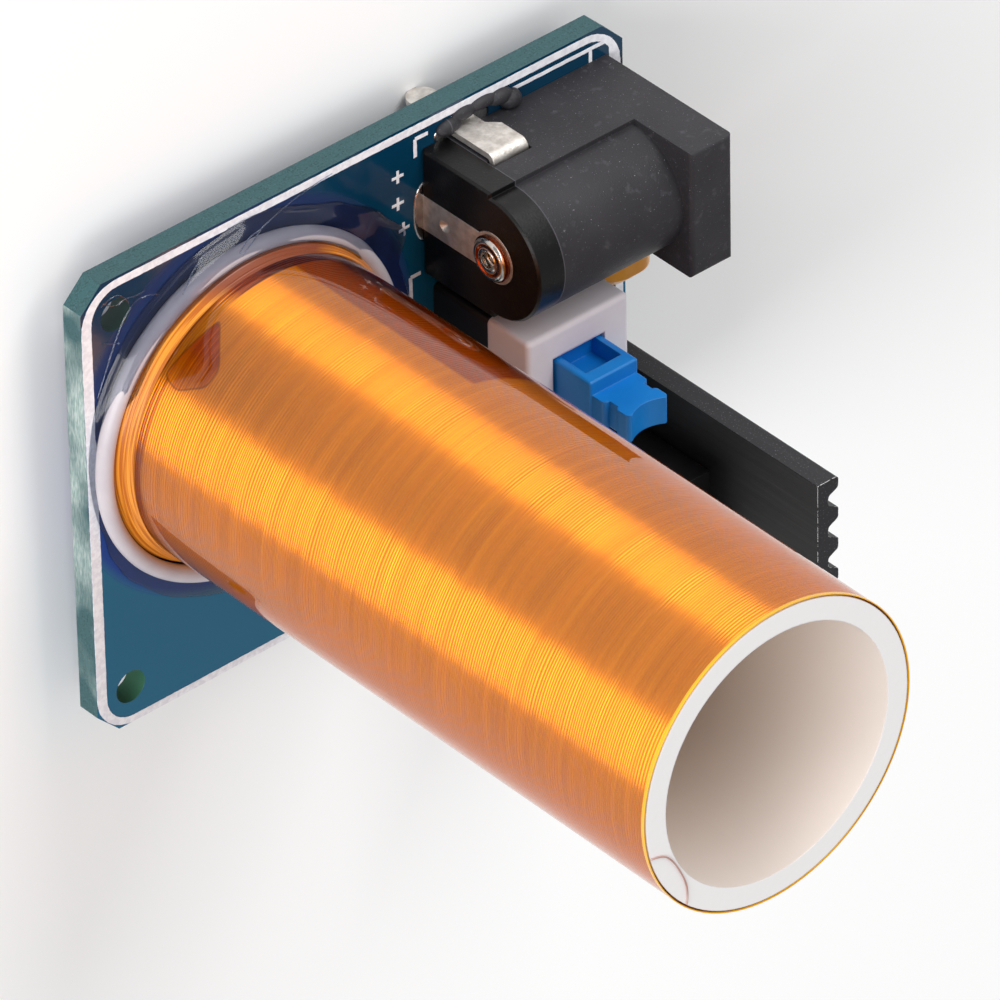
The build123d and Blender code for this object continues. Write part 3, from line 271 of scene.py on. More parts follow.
def board_edge(tree):
    """The colour of sawn laminate: bluish green, paler and scuffed on the side that faces -X."""
    x, y = along(tree, (1, 0, 0)), along(tree, (0, 1, 0))
    grain = cloud(tree, 0.11, detail=4, low=0.36, high=0.66)
    fibres = cloud(tree, 0.13, (0.12, 0.12, 1), detail=3, low=0.38, high=0.64)
    green = add(tree, "Mix", fibres, add(tree, "Mix", grain, "#143A3A", "#3A6066"), "#2B5458")
    scuffs = cloud(tree, 0.15, (1, 0.25, 1.3), detail=4, low=0.36, high=0.66)
    pale = add(tree, "Mix", scuffs, "#7A928D", "#B4C0BD")
    patches = cloud(tree, 6.0, detail=2, low=0.36, high=0.56)
    west = add(tree, "Math", x, board_low.x / MM + 0.05, operation="LESS_THAN")
    outer = add(tree, "Mix", add(tree, "Math", patches, west, operation="MULTIPLY"), green, pale)
    inside_x = within(tree, x, board_low.x / MM + CORNER_INSET, board_high.x / MM - CORNER_INSET)
    inside_y = within(tree, y, board_low.y / MM + CORNER_INSET, board_high.y / MM - CORNER_INSET)
    inside = add(tree, "Math", inside_x, inside_y, operation="MULTIPLY")
    # The hole walls are painted shade: darker towards +Y.
    shaded_hole_wall = add(tree, "Mix", add(tree, "MapRange", y, 2, 12), "#2A6046", "#0C2A26")
    return add(tree, "Mix", inside, outer, shaded_hole_wall)


def solder_mask():
    made, tree, shader = finish("solder_mask_on_fibre_board", IOR=1.5)
    level = add(tree, "Math", facing(tree, UP), operation="ABSOLUTE")
    flat = add(tree, "Math", level, 0.5, operation="GREATER_THAN")
    reach = distance_from(tree, (COIL_AXIS.x, COIL_AXIS.y, BOARD_TOP))
    wet = add(tree, "MapRange", reach, WET_REACH + 0.5, WET_REACH - 0.2)
    # A painted sheen: the ink is painted lighter towards -Y, with an uneven border.
    uneven = cloud(tree, 9, detail=1, low=0, high=1, to=(-5, 5))
    painted_sheen_y = add(tree, "Math", along(tree, (0, 1, 0)), uneven, operation="ADD")
    dry_ink = add(tree, "Mix", add(tree, "MapRange", painted_sheen_y, 13, -3), "#02344E", "#0D5F80")
    wet_ink = add(tree, "Mix", add(tree, "MapRange", painted_sheen_y, 10, -1), "#0A2858", "#0C3A88")
    mask = add(tree, "Mix", wet, dry_ink, wet_ink)
    colour = add(tree, "Mix", flat, board_edge(tree), mask)
    tree.links.new(colour, shader.inputs["Base Color"])
    dry = add(tree, "Math", 1, wet, operation="SUBTRACT")
    shiny = add(tree, "Math", flat, dry, operation="MULTIPLY")
    rough = add(tree, "MapRange", shiny, 0, 1, MATT, GLOSSY)
    tree.links.new(rough, shader.inputs["Roughness"])
    relief(tree, shader, cloud(tree, 1.2, detail=3, low=0.0, high=1.0), 0.012, edge_mm=0.05)
    return made


MASK = solder_mask()
print("made", MASK.name)

# %% [markdown]
# The coil shows as copper wire under an amber film. Film and wire touch, so both are drawn by one
# material on the film: a metal base for the wire, and a clear coat for the film's own smooth face.
# Each turn is a round wire, so the bump rises and falls once a turn and its slopes throw the light
# up and down. The base is anisotropic the same way round, which smooths that spread.
# The real turns are 0.12 mm apart, which is too fine for the picture, so they are drawn coarser.

# %% Copper wire under amber film
TURN_PITCH = 0.2
TURN_DEPTH = 0.022
FILM_IOR = 1.46
GLUE_CLIMB = BOARD_TOP / MM + 3.0
BARE_FOOT = 0.45
BARE_TOP = 0.22
SHADED_SIDE = 84
SHADED_FADE = (0.90, 0.95)  # shares of the film's radius, where the shade starts and where it is full
# A painted reflection: on one side, low down, the dark jack and switch mirror in the film, so that strip is
# painted darker.
DARK_REFLECTION_SIDE = 64
DARK_REFLECTION_FADE = (0.958, 0.965)
DARK_REFLECTION_TOP = 20.5
# A reddish patch on the film with a dark rim: the side it lies on, and its outline of (across, height)
# corners.
RED_PATCH_SIDE = 129
RED_PATCH_OUTLINE = ((-2.6, 4.9), (-0.9, 4.5), (1.9, 4.0), (2.35, 5.3), (1.2, 7.2), (-0.1, 7.3), (-1.7, 5.9))


def round_coil(tree, degrees):
    """How far a point lies out from the axis in one direction, and how far to that direction's left."""
    angle = math.radians(degrees)
    ways = ((math.cos(angle), math.sin(angle), 0), (-math.sin(angle), math.cos(angle), 0))
    shifts = [sum(part * axis / MM for part, axis in zip(way, COIL_AXIS)) for way in ways]
    return [
        add(tree, "Math", along(tree, way), shift, operation="SUBTRACT") for way, shift in zip(ways, shifts)
    ]


def depth_inside(tree, across, corners):
    """How deep a point lies inside a convex outline of (across, height) corners, with a wavy edge."""
    height = along(tree, UP)
    depth = cloud(tree, 0.8, detail=2, low=0, high=1, to=(4.6, 5.4))
    for (x0, z0), (x1, z1) in zip(corners, corners[1:] + corners[:1]):
        length = math.hypot(x1 - x0, z1 - z0)
        side = add(tree, "Math", across, -(z1 - z0) / length, operation="MULTIPLY")
        rise = add(tree, "Math", height, (x1 - x0) / length, operation="MULTIPLY")
        start = (-x0 * (z1 - z0) + z0 * (x1 - x0)) / length
        both = add(tree, "Math", side, rise, operation="ADD")
        inward = add(tree, "Math", both, start, operation="SUBTRACT")
        depth = add(tree, "Math", depth, inward, 0.6, operation="SMOOTH_MIN")
    return depth


def wound_copper():
    made, tree, shader = finish(
        "enamelled_copper_under_amber_film", Roughness=0.31, Anisotropic=1.0, Anisotropic_Rotation=0.25,
        Specular_Tint=linear("#D99418"), Coat_Weight=1.0, Coat_Roughness=0.02, Coat_IOR=FILM_IOR,
    )
    tree.links.new(add(tree, "Tangent", direction_type="RADIAL", axis="Z"), shader.inputs["Tangent"])

    height, film = along(tree, UP), FILM_RADIUS / MM
    turns = cloud(tree, 0.3, (0.02, 0.02, 1), detail=2, low=0.3, high=0.7)
    streaks = cloud(tree, 1.6, (0.05, 0.05, 1), detail=3, low=0.35, high=0.68)
    copper = add(tree, "Mix", streaks, add(tree, "Mix", turns, "#E67E0C", "#F38F12"), "#ED8610")

    wavy = add(tree, "Math", height, cloud(tree, 4.0, low=0, high=1, to=(-0.15, 0.15)), operation="ADD")
    # Painted reflection: the strip that mirrors the dark jack and switch is painted a darker copper.
    fade = [film * share for share in DARK_REFLECTION_FADE]
    reflection_side = add(tree, "MapRange", round_coil(tree, DARK_REFLECTION_SIDE)[0], *fade)
    below = add(tree, "MapRange", wavy, DARK_REFLECTION_TOP + 0.1, DARK_REFLECTION_TOP - 0.1)
    painted_dark_reflection = add(tree, "Math", reflection_side, below, operation="MULTIPLY")
    copper = add(tree, "Mix", painted_dark_reflection, copper, "#B8540A")

    glued = add(tree, "MapRange", wavy, GLUE_CLIMB + 0.05, GLUE_CLIMB - 0.05)
    gaps = cloud(tree, 0.22, (0.02, 0.02, 1), detail=0, low=0.44, high=0.54)
    fade = [film * share for share in SHADED_FADE]
    shaded = add(tree, "MapRange", round_coil(tree, SHADED_SIDE)[0], *fade)
    lit_collar = add(tree, "Mix", gaps, "#A84E06", "#D97D12")
    dark_collar = add(tree, "Mix", gaps, "#5E1E05", "#8A3A0B")
    copper = add(tree, "Mix", glued, copper, add(tree, "Mix", shaded, lit_collar, dark_collar))

    # The reddish patch: darker on its left half, paler on its right, with a dark rim.
    out, across = round_coil(tree, RED_PATCH_SIDE)
    front = add(tree, "Math", out, 5, operation="SUBTRACT")
    depth = add(tree, "Math", depth_inside(tree, across, RED_PATCH_OUTLINE), front, operation="MINIMUM")
    deeper = add(tree, "Mix", gaps, "#B84402", "#CC5403")
    paler = add(tree, "Mix", gaps, "#D66A06", "#E27A0A")
    red_patch = add(tree, "Mix", add(tree, "MapRange", across, -0.5, 1.9), deeper, paler)
    copper = add(tree, "Mix", add(tree, "MapRange", depth, 0.0, 0.05), copper, red_patch)
    rim = add(tree, "MapRange", add(tree, "Math", depth, operation="ABSOLUTE"), 0.08, 0.03, 0, 0.6)
    copper = add(tree, "Mix", rim, copper, "#7E2D03")

    wired = within(tree, height, winding_low.z / MM - BARE_FOOT, film_high.z / MM - BARE_TOP)
    tree.links.new(add(tree, "Mix", wired, "#F0B01A", copper), shader.inputs["Base Color"])
    tree.links.new(wired, shader.inputs["Metallic"])

    uneven = cloud(tree, 2.2, (0.1, 0.1, 1), detail=2, low=0, high=1, to=(-0.35, 0.35))
    climb = add(tree, "Math", height, uneven, operation="ADD")
    phase = add(tree, "Math", climb, 2 * math.pi / TURN_PITCH, operation="MULTIPLY")
    proud = cloud(tree, 0.7, (0.05, 0.05, 1), detail=2, low=0.3, high=0.7, to=(0.55, 1.15))
    ridges = add(tree, "Math", add(tree, "Math", phase, operation="SINE"), proud, operation="MULTIPLY")
    relief(tree, shader, ridges, TURN_DEPTH)
    waves = cloud(tree, 7, (1, 1, 0.5), detail=1, low=0.0, high=1.0)
    relief(tree, shader, waves, 0.02, socket="Coat Normal")
    return made


WOUND_COPPER = wound_copper()
print("turns drawn", TURN_PITCH, "mm apart")

# %% [markdown]
# Rigid PVC pipe is an even near-white with a low, slightly waxy shine from the extruder. Deep in the
# bore the light has bounced from wall to wall and through the amber film, so the inside reads warmer.

# %% White PVC tube
WARM_DEPTH = 26.0


def pvc():
    made, tree, shader = finish("extruded_rigid_pvc", Roughness=0.42, IOR=1.53)
    upper_face = add(tree, "Math", facing(tree, UP), 0.5, operation="GREATER_THAN")
    depth = add(tree, "MapRange", along(tree, UP), TUBE_TOP / MM - WARM_DEPTH, TUBE_TOP / MM)
    # Painted shade and bounced light: the bore is painted darker and warmer the deeper it lies.
    bore = add(tree, "Mix", depth, "#CFB49C", "#E9DED6")
    tree.links.new(add(tree, "Mix", upper_face, bore, "#E6E3E3"), shader.inputs["Base Color"])
    relief(tree, shader, cloud(tree, 0.5, (1, 1, 0.02), low=0.0, high=1.0), 0.01, edge_mm=0.12)
    return made


PVC = pvc()
print("made", PVC.name)

# %% [markdown]
# Moulded parts differ mostly in how their mould was finished. The jack's mould was spark-eroded, which
# leaves a fine matt grain, and dust lies on it as pale specks. The switch and its stem came from
# smoother moulds. One function makes them all from a colour, a roughness and the grain's real size.

# %% Moulded plastics
SEAM_WIDTH = 0.04


def moulded(
    name, colour, shade, roughness, grain_mm, grain_depth_mm, dust=None, edge_mm=0.08, seam=None, shine=0.5,
):
    made, tree, shader = finish(name, Roughness=roughness, IOR=1.5, Specular_IOR_Level=shine)
    body = add(tree, "Mix", cloud(tree, 3.0, detail=3, low=0.3, high=0.7), colour, shade)
    if dust:
        specks = cloud(tree, 0.09, detail=1, low=0.72, high=0.80, to=(0, 0.7))
        body = add(tree, "Mix", specks, body, dust)
        smears = cloud(tree, 0.7, detail=5, low=0.60, high=0.80, to=(0, 0.14))
        body = add(tree, "Mix", smears, body, dust)
    if seam:
        line = within(tree, along(tree, (1, 0, 0)), seam - SEAM_WIDTH, seam + SEAM_WIDTH)
        body = add(tree, "Mix", line, body, "#4C4B50")
    tree.links.new(body, shader.inputs["Base Color"])
    relief(tree, shader, cloud(tree, grain_mm, detail=3, low=0, high=1), grain_depth_mm, edge_mm=edge_mm)
    return made


SEAM = jack_low.x / MM
JACK_BLACK = moulded(
    "black_pbt_spark_eroded", "#2B2A2E", "#333236", 0.5, 0.10, 0.02, dust="#9A9AA2", seam=SEAM, shine=0.27,
)
# The rear cap is painted far blacker than the housing: partly its own black, partly painted shade from the
# coil beside it.
CAP_BLACK_AND_SHADE = moulded(
    "black_pbt_rear_cap_and_painted_shade", "#050506", "#090909", 0.34, 0.16, 0.012, dust="#4A4846", seam=SEAM, shine=0.3,
)
SWITCH_WHITE = moulded("white_nylon_switch_cover", "#EBE7EE", "#E2DDE4", 0.45, 0.3, 0.003, edge_mm=0.2)
SWITCH_BLACK = moulded("black_nylon_switch_base", "#0C0C0D", "#121213", 0.45, 0.2, 0.006)
STEM_BLUE = moulded("blue_acetal_stem", "#0072C6", "#067FD2", 0.42, 0.25, 0.006, edge_mm=0.12)
EPOXY_BLACK = moulded("black_transistor_epoxy", "#0C0C0E", "#111113", 0.42, 0.12, 0.01)
CAPACITOR_YELLOW = moulded("dipped_ceramic_coating", "#EE9E22", "#F5AC34", 0.30, 0.8, 0.03)
print("made the moulded plastics")

# %% [markdown]
# The heatsink is aluminium that was extruded, sawn and anodised black. The die drags fine lines along
# it, and where its sharp sawn corners have rubbed, the bare metal shows as a thin bright edge. The
# Bevel node finds corners: where its rounded normal leaves the face's own normal, an edge is near.

# %% Black anodised aluminium with worn edges
WORN_WIDTH = 0.09
WORN_MATCH = (0.985, 0.86)  # how well the two normals agree, where wear starts and where it is full


def anodised():
    made, tree, shader = finish("black_anodised_extrusion", IOR=1.6, Specular_IOR_Level=0.2)
    own = add(tree, "NewGeometry", output="Normal")
    rounded = add(tree, "Bevel", WORN_WIDTH * MM, samples=8)
    match = add(tree, "VectorMath", own, rounded, operation="DOT_PRODUCT")
    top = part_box("heatsink")[1].z / MM
    near_top = add(tree, "MapRange", along(tree, UP), top - 0.5, top - 0.05)
    chipped = cloud(tree, 0.35, detail=4, low=0.46, high=0.52)
    worn = add(tree, "Math", add(tree, "MapRange", match, *WORN_MATCH), chipped, operation="MULTIPLY")
    worn = add(tree, "Math", worn, near_top, operation="MULTIPLY")
    # Painted light: faces that look up and towards +Y are painted a lighter grey, as if lit from above.
    upper_face = add(tree, "MapRange", facing(tree, (0, 1, 1)), 0.3, 0.6)
    specks = cloud(tree, 0.10, detail=1, low=0.66, high=0.74)
    black = add(tree, "Mix", specks, "#050506", "#18181A")
    painted_lit_face = add(tree, "Mix", specks, "#2A2A2D", "#6C6C70")
    colour = add(tree, "Mix", worn, add(tree, "Mix", upper_face, black, painted_lit_face), "#E8E8EA")
    tree.links.new(colour, shader.inputs["Base Color"])
    tree.links.new(worn, shader.inputs["Metallic"])
    rough = cloud(tree, 0.4, (1, 1, 0.05), detail=3, low=0.3, high=0.7, to=(0.36, 0.48))
    tree.links.new(rough, shader.inputs["Roughness"])
    relief(tree, shader, cloud(tree, 0.12, (1, 1, 0.02), detail=3, low=0, high=1), 0.006, edge_mm=0.06)
    return made


ANODISED = anodised()
print("made", ANODISED.name)

# %% [markdown]
# Plated metals: tin is a soft grey-white with a slightly clouded shine, nickel is brighter, zinc on a
# steel screw is bluish, and worn plating on brass lets a copper-brown show. Rolled strip carries
# faint lines along its length. A metal keeps the default IOR, because its colour gives its shine.

# %% Plated metals and solder
def metal(name, colour, shade, roughness, patch_mm=0.8, lines=(1, 1, 1), depth_mm=0.004, edge_mm=0.06):
    made, tree, shader = finish(name, Metallic=1.0)
    patches = cloud(tree, patch_mm, lines, detail=3, low=0.35, high=0.65)
    tree.links.new(add(tree, "Mix", patches, colour, shade), shader.inputs["Base Color"])
    rough = cloud(tree, patch_mm / 2, lines, detail=2, low=0.3, high=0.7, to=(roughness, roughness + 0.12))
    tree.links.new(rough, shader.inputs["Roughness"])
    ripple = cloud(tree, patch_mm / 3, lines, detail=3, low=0, high=1)
    relief(tree, shader, ripple, depth_mm, edge_mm=edge_mm)
    return made


TIN = metal("tinned_brass_strip", "#E2DFDA", "#C4BEB6", 0.34, lines=(1, 1, 0.2))
CRUMPLED_TIN = metal("hand_bent_tinned_strip", "#EAE5DF", "#CBC5BE", 0.42, patch_mm=0.6, depth_mm=0.03)
STEEL = metal("spring_steel", "#B4B4B6", "#8E8E92", 0.28)
ZINC = metal("zinc_plated_steel", "#C3C6CB", "#A2A6AE", 0.26)
SOLDER = metal("tin_lead_solder", "#D5D5D4", "#B3B3B4", 0.14, patch_mm=0.5, depth_mm=0.010)
COPPER = metal("enamelled_copper_wire", "#D08A5C", "#B8693C", 0.25)
FINE_WIRE = metal("pale_fine_enamelled_wire", "#EBC6BC", "#DDAFA2", 0.45)


def turned_rivet():
    """Nickel over brass, turned in rings round the jack's own axis, with copper where it has worn."""
    made, tree, shader = finish("worn_nickel_on_brass", Metallic=1.0, Roughness=0.2)
    low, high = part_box("jack_centre_pin")
    radius = distance_from(tree, (low + high) / 2, keep=(0, 1, 1))
    colour = add(tree, "Mix", cloud(tree, 0.4, detail=3, low=0.35, high=0.65), "#D9D5D0", "#B9B2AC")
    for inner, outer, paint in RIVET_RINGS:
        colour = add(tree, "Mix", within(tree, radius, inner, outer), colour, paint)
    tree.links.new(colour, shader.inputs["Base Color"])
    phase = add(tree, "Math", radius, 2 * math.pi / RIVET_STEP, operation="MULTIPLY")
    relief(tree, shader, add(tree, "Math", phase, operation="COSINE"), 0.07, edge_mm=0.08)
    return made


RIVET_STEP = 0.55
RIVET_RINGS = ((0.30, 0.46, "#4A3A34"), (0.86, 1.08, "#B4532A"), (1.42, 1.60, "#7A4630"))
RIVET = turned_rivet()
print("made the metals")

# %% [markdown]
# Three insulating materials are left. The primary wire wears thick white PVC. The indicator is clear
# epoxy, and the resistor is painted, with rings that give its value. The rings follow the length of
# the body, so their place comes from the resistor's own box.

# %% Wire insulation, clear epoxy and painted resistor
RINGS = ((0.12, "#6B2D10"), (0.32, "#1C1A1A"), (0.46, "#1C1A1A"), (0.60, "#B6321C"), (0.88, "#6B2D10"))
RING_WIDTH = 0.55


def banded_paint():
    low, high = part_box("resistor_body")
    made, tree, shader = finish("resistor_paint", Roughness=0.3, IOR=1.5)
    colour = add(tree, "Mix", cloud(tree, 1.5, low=0.3, high=0.7), "#7FA6B8", "#7299AB")
    for share, ring in RINGS:
        middle = (low.x + share * (high.x - low.x)) / MM
        inside = within(tree, along(tree, (1, 0, 0)), middle - RING_WIDTH / 2, middle + RING_WIDTH / 2)
        colour = add(tree, "Mix", inside, colour, ring)
    tree.links.new(colour, shader.inputs["Base Color"])
    relief(tree, shader, cloud(tree, 0.9, low=0, high=1), 0.02)
    return made


INSULATION = moulded("white_wire_insulation", "#C2BBC0", "#B6AFB5", 0.36, 0.6, 0.01, edge_mm=0)
RESISTOR_PAINT = banded_paint()
LENS, lens_tree, lens_shader = finish(
    "clear_epoxy_lens", Base_Color=linear("#F4F8F8"), Roughness=0.04, IOR=1.53, Transmission_Weight=1.0,
)
relief(lens_tree, lens_shader, cloud(lens_tree, 2.0, low=0, high=1), 0.01)
print("made", RESISTOR_PAINT.name)

# %% [markdown]
# Each solid of the model now takes its material. A table of names and finishes is enough, and the last
# line prints what has none, so that nothing stays plain by mistake.

# %% Materials on the model's own solids
FINISHES = {
    "circuit_board": MASK,
    "coil_former": PVC,
    "secondary_winding": COPPER,
    "insulating_film": WOUND_COPPER,
    "jack_housing": JACK_BLACK,
    "jack_rear_cap": CAP_BLACK_AND_SHADE,
    "jack_centre_pin": RIVET,
    "jack_rear_terminal": CRUMPLED_TIN,
    "jack_side_terminal": CRUMPLED_TIN,
    "jack_sleeve_spring": TIN,
    "switch_base": SWITCH_BLACK,
    "switch_cover": SWITCH_WHITE,
    "switch_stem": STEM_BLUE,
    "switch_spring": STEEL,
    "switch_contacts": TIN,
    "switch_pins": TIN,
    "switch_latch_wire": STEEL,
    "heatsink": ANODISED,
    "collector_plate": TIN,
    "transistor_body": EPOXY_BLACK,
    "transistor_leads": TIN,
    "clamp_screw": ZINC,
    "clamp_nut": ZINC,
    "capacitor_body": CAPACITOR_YELLOW,
    "capacitor_leads": TIN,
    "led_lens": LENS,
    "led_leads": TIN,
    "resistor_body": RESISTOR_PAINT,
    "resistor_leads": TIN,
    "solder_joints": SOLDER,
    "primary_loop": INSULATION,
    "free_end_lead": FINE_WIRE,
    "glue_bead": LENS,
}
for name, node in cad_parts.items():
    node.data.materials.clear()
    node.data.materials.append(FINISHES[name])
print("left plain:", sorted(set(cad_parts) - set(FINISHES)))

# %% [markdown]
# New pieces are meshes built point by point or curves with a round section. Each one rides on the
# body that carries it and says whose finish it takes. These helpers keep that to one call a piece.

# %% Helpers for new pieces
def dress(piece, material, body="root", replaced=()):
    """Gives a new piece its material, the body it rides on and the solids it stands for."""
    piece.data.materials.append(material)
    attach(piece, body)
    if replaced:
        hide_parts(*replaced)
    return piece


def mesh_piece(name, points, faces, smooth=True):
    """A mesh from points and faces, with every face turned to look outward."""
    data = bpy.data.meshes.new(name)
    data.from_pydata([tuple(point) for point in points], [], faces)
    shell = bmesh.new()
    shell.from_mesh(data)
    bmesh.ops.recalc_face_normals(shell, faces=shell.faces)
    shell.to_mesh(data)
    shell.free()
    for face in data.polygons:
        face.use_smooth = smooth
    piece = bpy.data.objects.new(name, data)
    bpy.context.scene.collection.objects.link(piece)
    return piece


def wire_curve(name, paths, radius, sides=4):
    """Round wires along lists of points, as one curve object."""
    data = bpy.data.curves.new(name, "CURVE")
    data.dimensions = "3D"
    data.bevel_depth = radius
    data.bevel_resolution = sides
    data.use_fill_caps = True
    data.resolution_u = 8
    for path in paths:
        spline = data.splines.new("NURBS")
        spline.points.add(len(path) - 1)
        for point, place in zip(spline.points, path):
            point.co = (*place, 1)
        spline.use_endpoint_u = True
        spline.order_u = 3
    piece = bpy.data.objects.new(name, data)
    bpy.context.scene.collection.objects.link(piece)
    return piece


def round_axis(axis, radius, degrees, height):
    """A point at a distance and a direction from an upright axis."""
    angle = math.radians(degrees)
    return Vector((axis.x + radius * math.cos(angle), axis.y + radius * math.sin(angle), height))


print("helpers ready")

# %% [markdown]
# The white print is epoxy ink, laid on through a screen in a layer about 0.03 mm thick, with slightly
# ragged edges. A border follows the board's outline with rounded corners. It was printed a little
# off towards two sides, so it is wider there and runs right along the edge.

# %% Printed border
PRINT_LOW = BOARD_TOP - 0.01 * MM
PRINT_HIGH = BOARD_TOP + 0.025 * MM
BORDER_OUTER = (0.02, 0.20, 0.01, 0.20)
BORDER_INNER = (0.76, 0.80, 0.48, 0.72)
OUTER_CORNER = 2.78 * MM
INNER_CORNER = 2.05 * MM
RAGGED = 0.012 * MM

INK, ink_tree, ink_shader = finish("white_screen_ink", Roughness=0.5, IOR=1.5)
ink_shade = add(ink_tree, "Mix", cloud(ink_tree, 0.35, detail=4), "#F1F1F6", "#E2E1E8")
ink_tree.links.new(ink_shade, ink_shader.inputs["Base Color"])
relief(ink_tree, ink_shader, cloud(ink_tree, 0.15, detail=3, low=0, high=1), 0.003)


def rounded_outline(insets, corner, steps=8):
    """The board's outline moved in by its left, right, bottom and top insets, with round corners."""
    left, right, bottom, top = [inset * MM for inset in insets]
    x_low, x_high = board_low.x + left + corner, board_high.x - right - corner
    y_low, y_high = board_low.y + bottom + corner, board_high.y - top - corner
    outline = []
    for x, y, start in ((x_high, y_high, 0), (x_low, y_high, 90), (x_low, y_low, 180), (x_high, y_low, 270)):
        for step in range(steps + 1):
            angle = math.radians(start + 90 * step / steps)
            outline.append((x + corner * math.cos(angle), y + corner * math.sin(angle)))
    return outline


def ragged(points):
    """Moves each point a little, as ink edges are uneven."""
    return [(x + random.uniform(-RAGGED, RAGGED), y + random.uniform(-RAGGED, RAGGED)) for x, y in points]


def divided(outer, inner, step=0.25 * MM):
    """Two matching closed outlines with more points along their long sides."""
    fine = ([], [])
    for index in range(len(outer)):
        after = (index + 1) % len(outer)
        pieces = max(1, math.ceil(math.dist(outer[index], outer[after]) / step))
        for part in range(pieces):
            for ring, out in zip((outer, inner), fine):
                out.append(tuple(a + (b - a) * part / pieces for a, b in zip(ring[index], ring[after])))
    return fine


outer, inner = divided(
    rounded_outline(BORDER_OUTER, OUTER_CORNER), rounded_outline(BORDER_INNER, INNER_CORNER),
)
rings = [[(x, y, z) for x, y in ragged(ring)] for ring in (outer, inner) for z in (PRINT_LOW, PRINT_HIGH)]
total = len(outer)
border_faces = []
for index in range(total):
    after = (index + 1) % total
    for one, other in ((0, 1), (2, 3), (0, 2), (1, 3)):
        border_faces.append(
            [one * total + index, one * total + after, other * total + after, other * total + index],
        )
border = mesh_piece("print_border", [point for ring in rings for point in ring], border_faces, smooth=False)
dress(border, INK)
print("border of", len(border_faces), "faces")

# %% [markdown]
# Thin printed lines frame the jack and the switch, and three plus signs stand beside the coil.
# Each line is a flat plate between two rows of points.

# %% Printed marks
LINE_WIDTH = 0.26 * MM
PLATE_STEP = 0.003 * MM
PLUS_ARM = 0.46 * MM
PLUS_WIDTH = 0.20 * MM
PLUS_PLACES = ((21.65, 13.0), (21.62, 11.05), (22.0, 9.1))


def stroke(start, end, width=LINE_WIDTH):
    """The closed outline of one printed line."""
    (x0, y0), (x1, y1) = start, end
    length = math.hypot(x1 - x0, y1 - y0)
    across = (-(y1 - y0) / length * width / 2, (x1 - x0) / length * width / 2)
    count = max(2, math.ceil(length / (0.3 * MM)))
    near, far = [], []
    for step in range(count + 1):
        x, y = x0 + (x1 - x0) * step / count, y0 + (y1 - y0) * step / count
        near.append((x + across[0], y + across[1]))
        far.append((x - across[0], y - across[1]))
    return ragged(near + far[::-1])


def slabs(name, outlines, low, high):
    """Flat plates, one for each closed outline of (x, y) points. Crossing ones differ a little in height."""
    points, faces = [], []
    for number, outline in enumerate(outlines):
        start, count = len(points), len(outline)
        top = high - (number % 4 + 1) * PLATE_STEP
        points += [(x, y, low) for x, y in outline] + [(x, y, top) for x, y in outline]
        faces += [
            [start + index for index in range(count)], [start + count + index for index in range(count)]
        ]
        for index in range(count):
            after = (index + 1) % count
            faces.append([start + index, start + after, start + count + after, start + count + index])
    return mesh_piece(name, points, faces, smooth=False)


strokes = []
for x, y in PLUS_PLACES:
    x, y = x * MM, y * MM
    strokes.append(stroke((x - PLUS_ARM, y), (x + PLUS_ARM, y), PLUS_WIDTH))
    strokes.append(stroke((x, y - PLUS_ARM), (x, y + PLUS_ARM), PLUS_WIDTH))
left, right = cap_low.x - 0.45 * MM, jack_high.x + 0.35 * MM
bottom, top = jack_low.y - 0.5 * MM, jack_high.y + 0.95 * MM
tick = right - 1.6 * MM
corners = [
    ((left, top), (left + 1.0 * MM, top)), ((left, top), (left, top - 1.3 * MM)),
    ((left + 6.6 * MM, top), (right, top)), ((right, top), (right, bottom)),
    ((tick, top), (tick, top - 1.0 * MM)), ((right - 14 * MM, bottom), (right, bottom)),
]
left, right = cover_low.x - 1.75 * MM, cover_high.x + 0.55 * MM
bottom, top = cover_low.y - 0.55 * MM, cover_high.y + 1.3 * MM
corners += [
    ((left, top), (left + 0.8 * MM, top)), ((left, top), (left, top - 1.8 * MM)),
    ((left, bottom), (right, bottom)), ((right, bottom), (right, top)),
]
strokes += [stroke(start, end) for start, end in corners]
dress(slabs("print_marks", strokes, PRINT_LOW, PRINT_HIGH), INK)
print(len(strokes), "printed lines")

# %% [markdown]
# Every lead sits in a copper ring, tinned by the solder bath, on both faces of the board. Under the
# board the solder has drawn up the lead in a smooth hollow cone. Both are turned shapes: a short
# profile swept round the lead, longer one way where the jack's flat blades go through slots.

# %% Pads and solder cones
SOLDER_HEIGHT = 0.9 * MM
SOLDER_SHARES = ((1.0, 0.0), (0.97, 0.10), (0.80, 0.30), (0.62, 0.55), (0.50, 0.80), (0.40, 1.0))
RIM_SHARES = ((1.0, -0.01), (1.0, 0.03), (0.9, 0.07), (0.7, 0.05))


def loose_parts(node):
    """The box of each separate part of a node."""
    shape = bmesh.new()
    shape.from_mesh(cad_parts[node].data)
    bmesh.ops.remove_doubles(shape, verts=shape.verts, dist=1e-7)
    left = set(shape.verts)
    boxes = []
    while left:
        queue, places = [left.pop()], []
        while queue:
            vertex = queue.pop()
            places.append(vertex.co.copy())
            for edge in vertex.link_edges:
                other = edge.other_vert(vertex)
                if other in left:
                    left.remove(other)
                    queue.append(other)
        low = Vector([min(place[axis] for place in places) for axis in range(3)])
        high = Vector([max(place[axis] for place in places) for axis in range(3)])
        boxes.append((low, high))
    shape.free()
    return sorted(boxes, key=lambda pair: (round(pair[0].x, 6), round(pair[0].y, 6)))


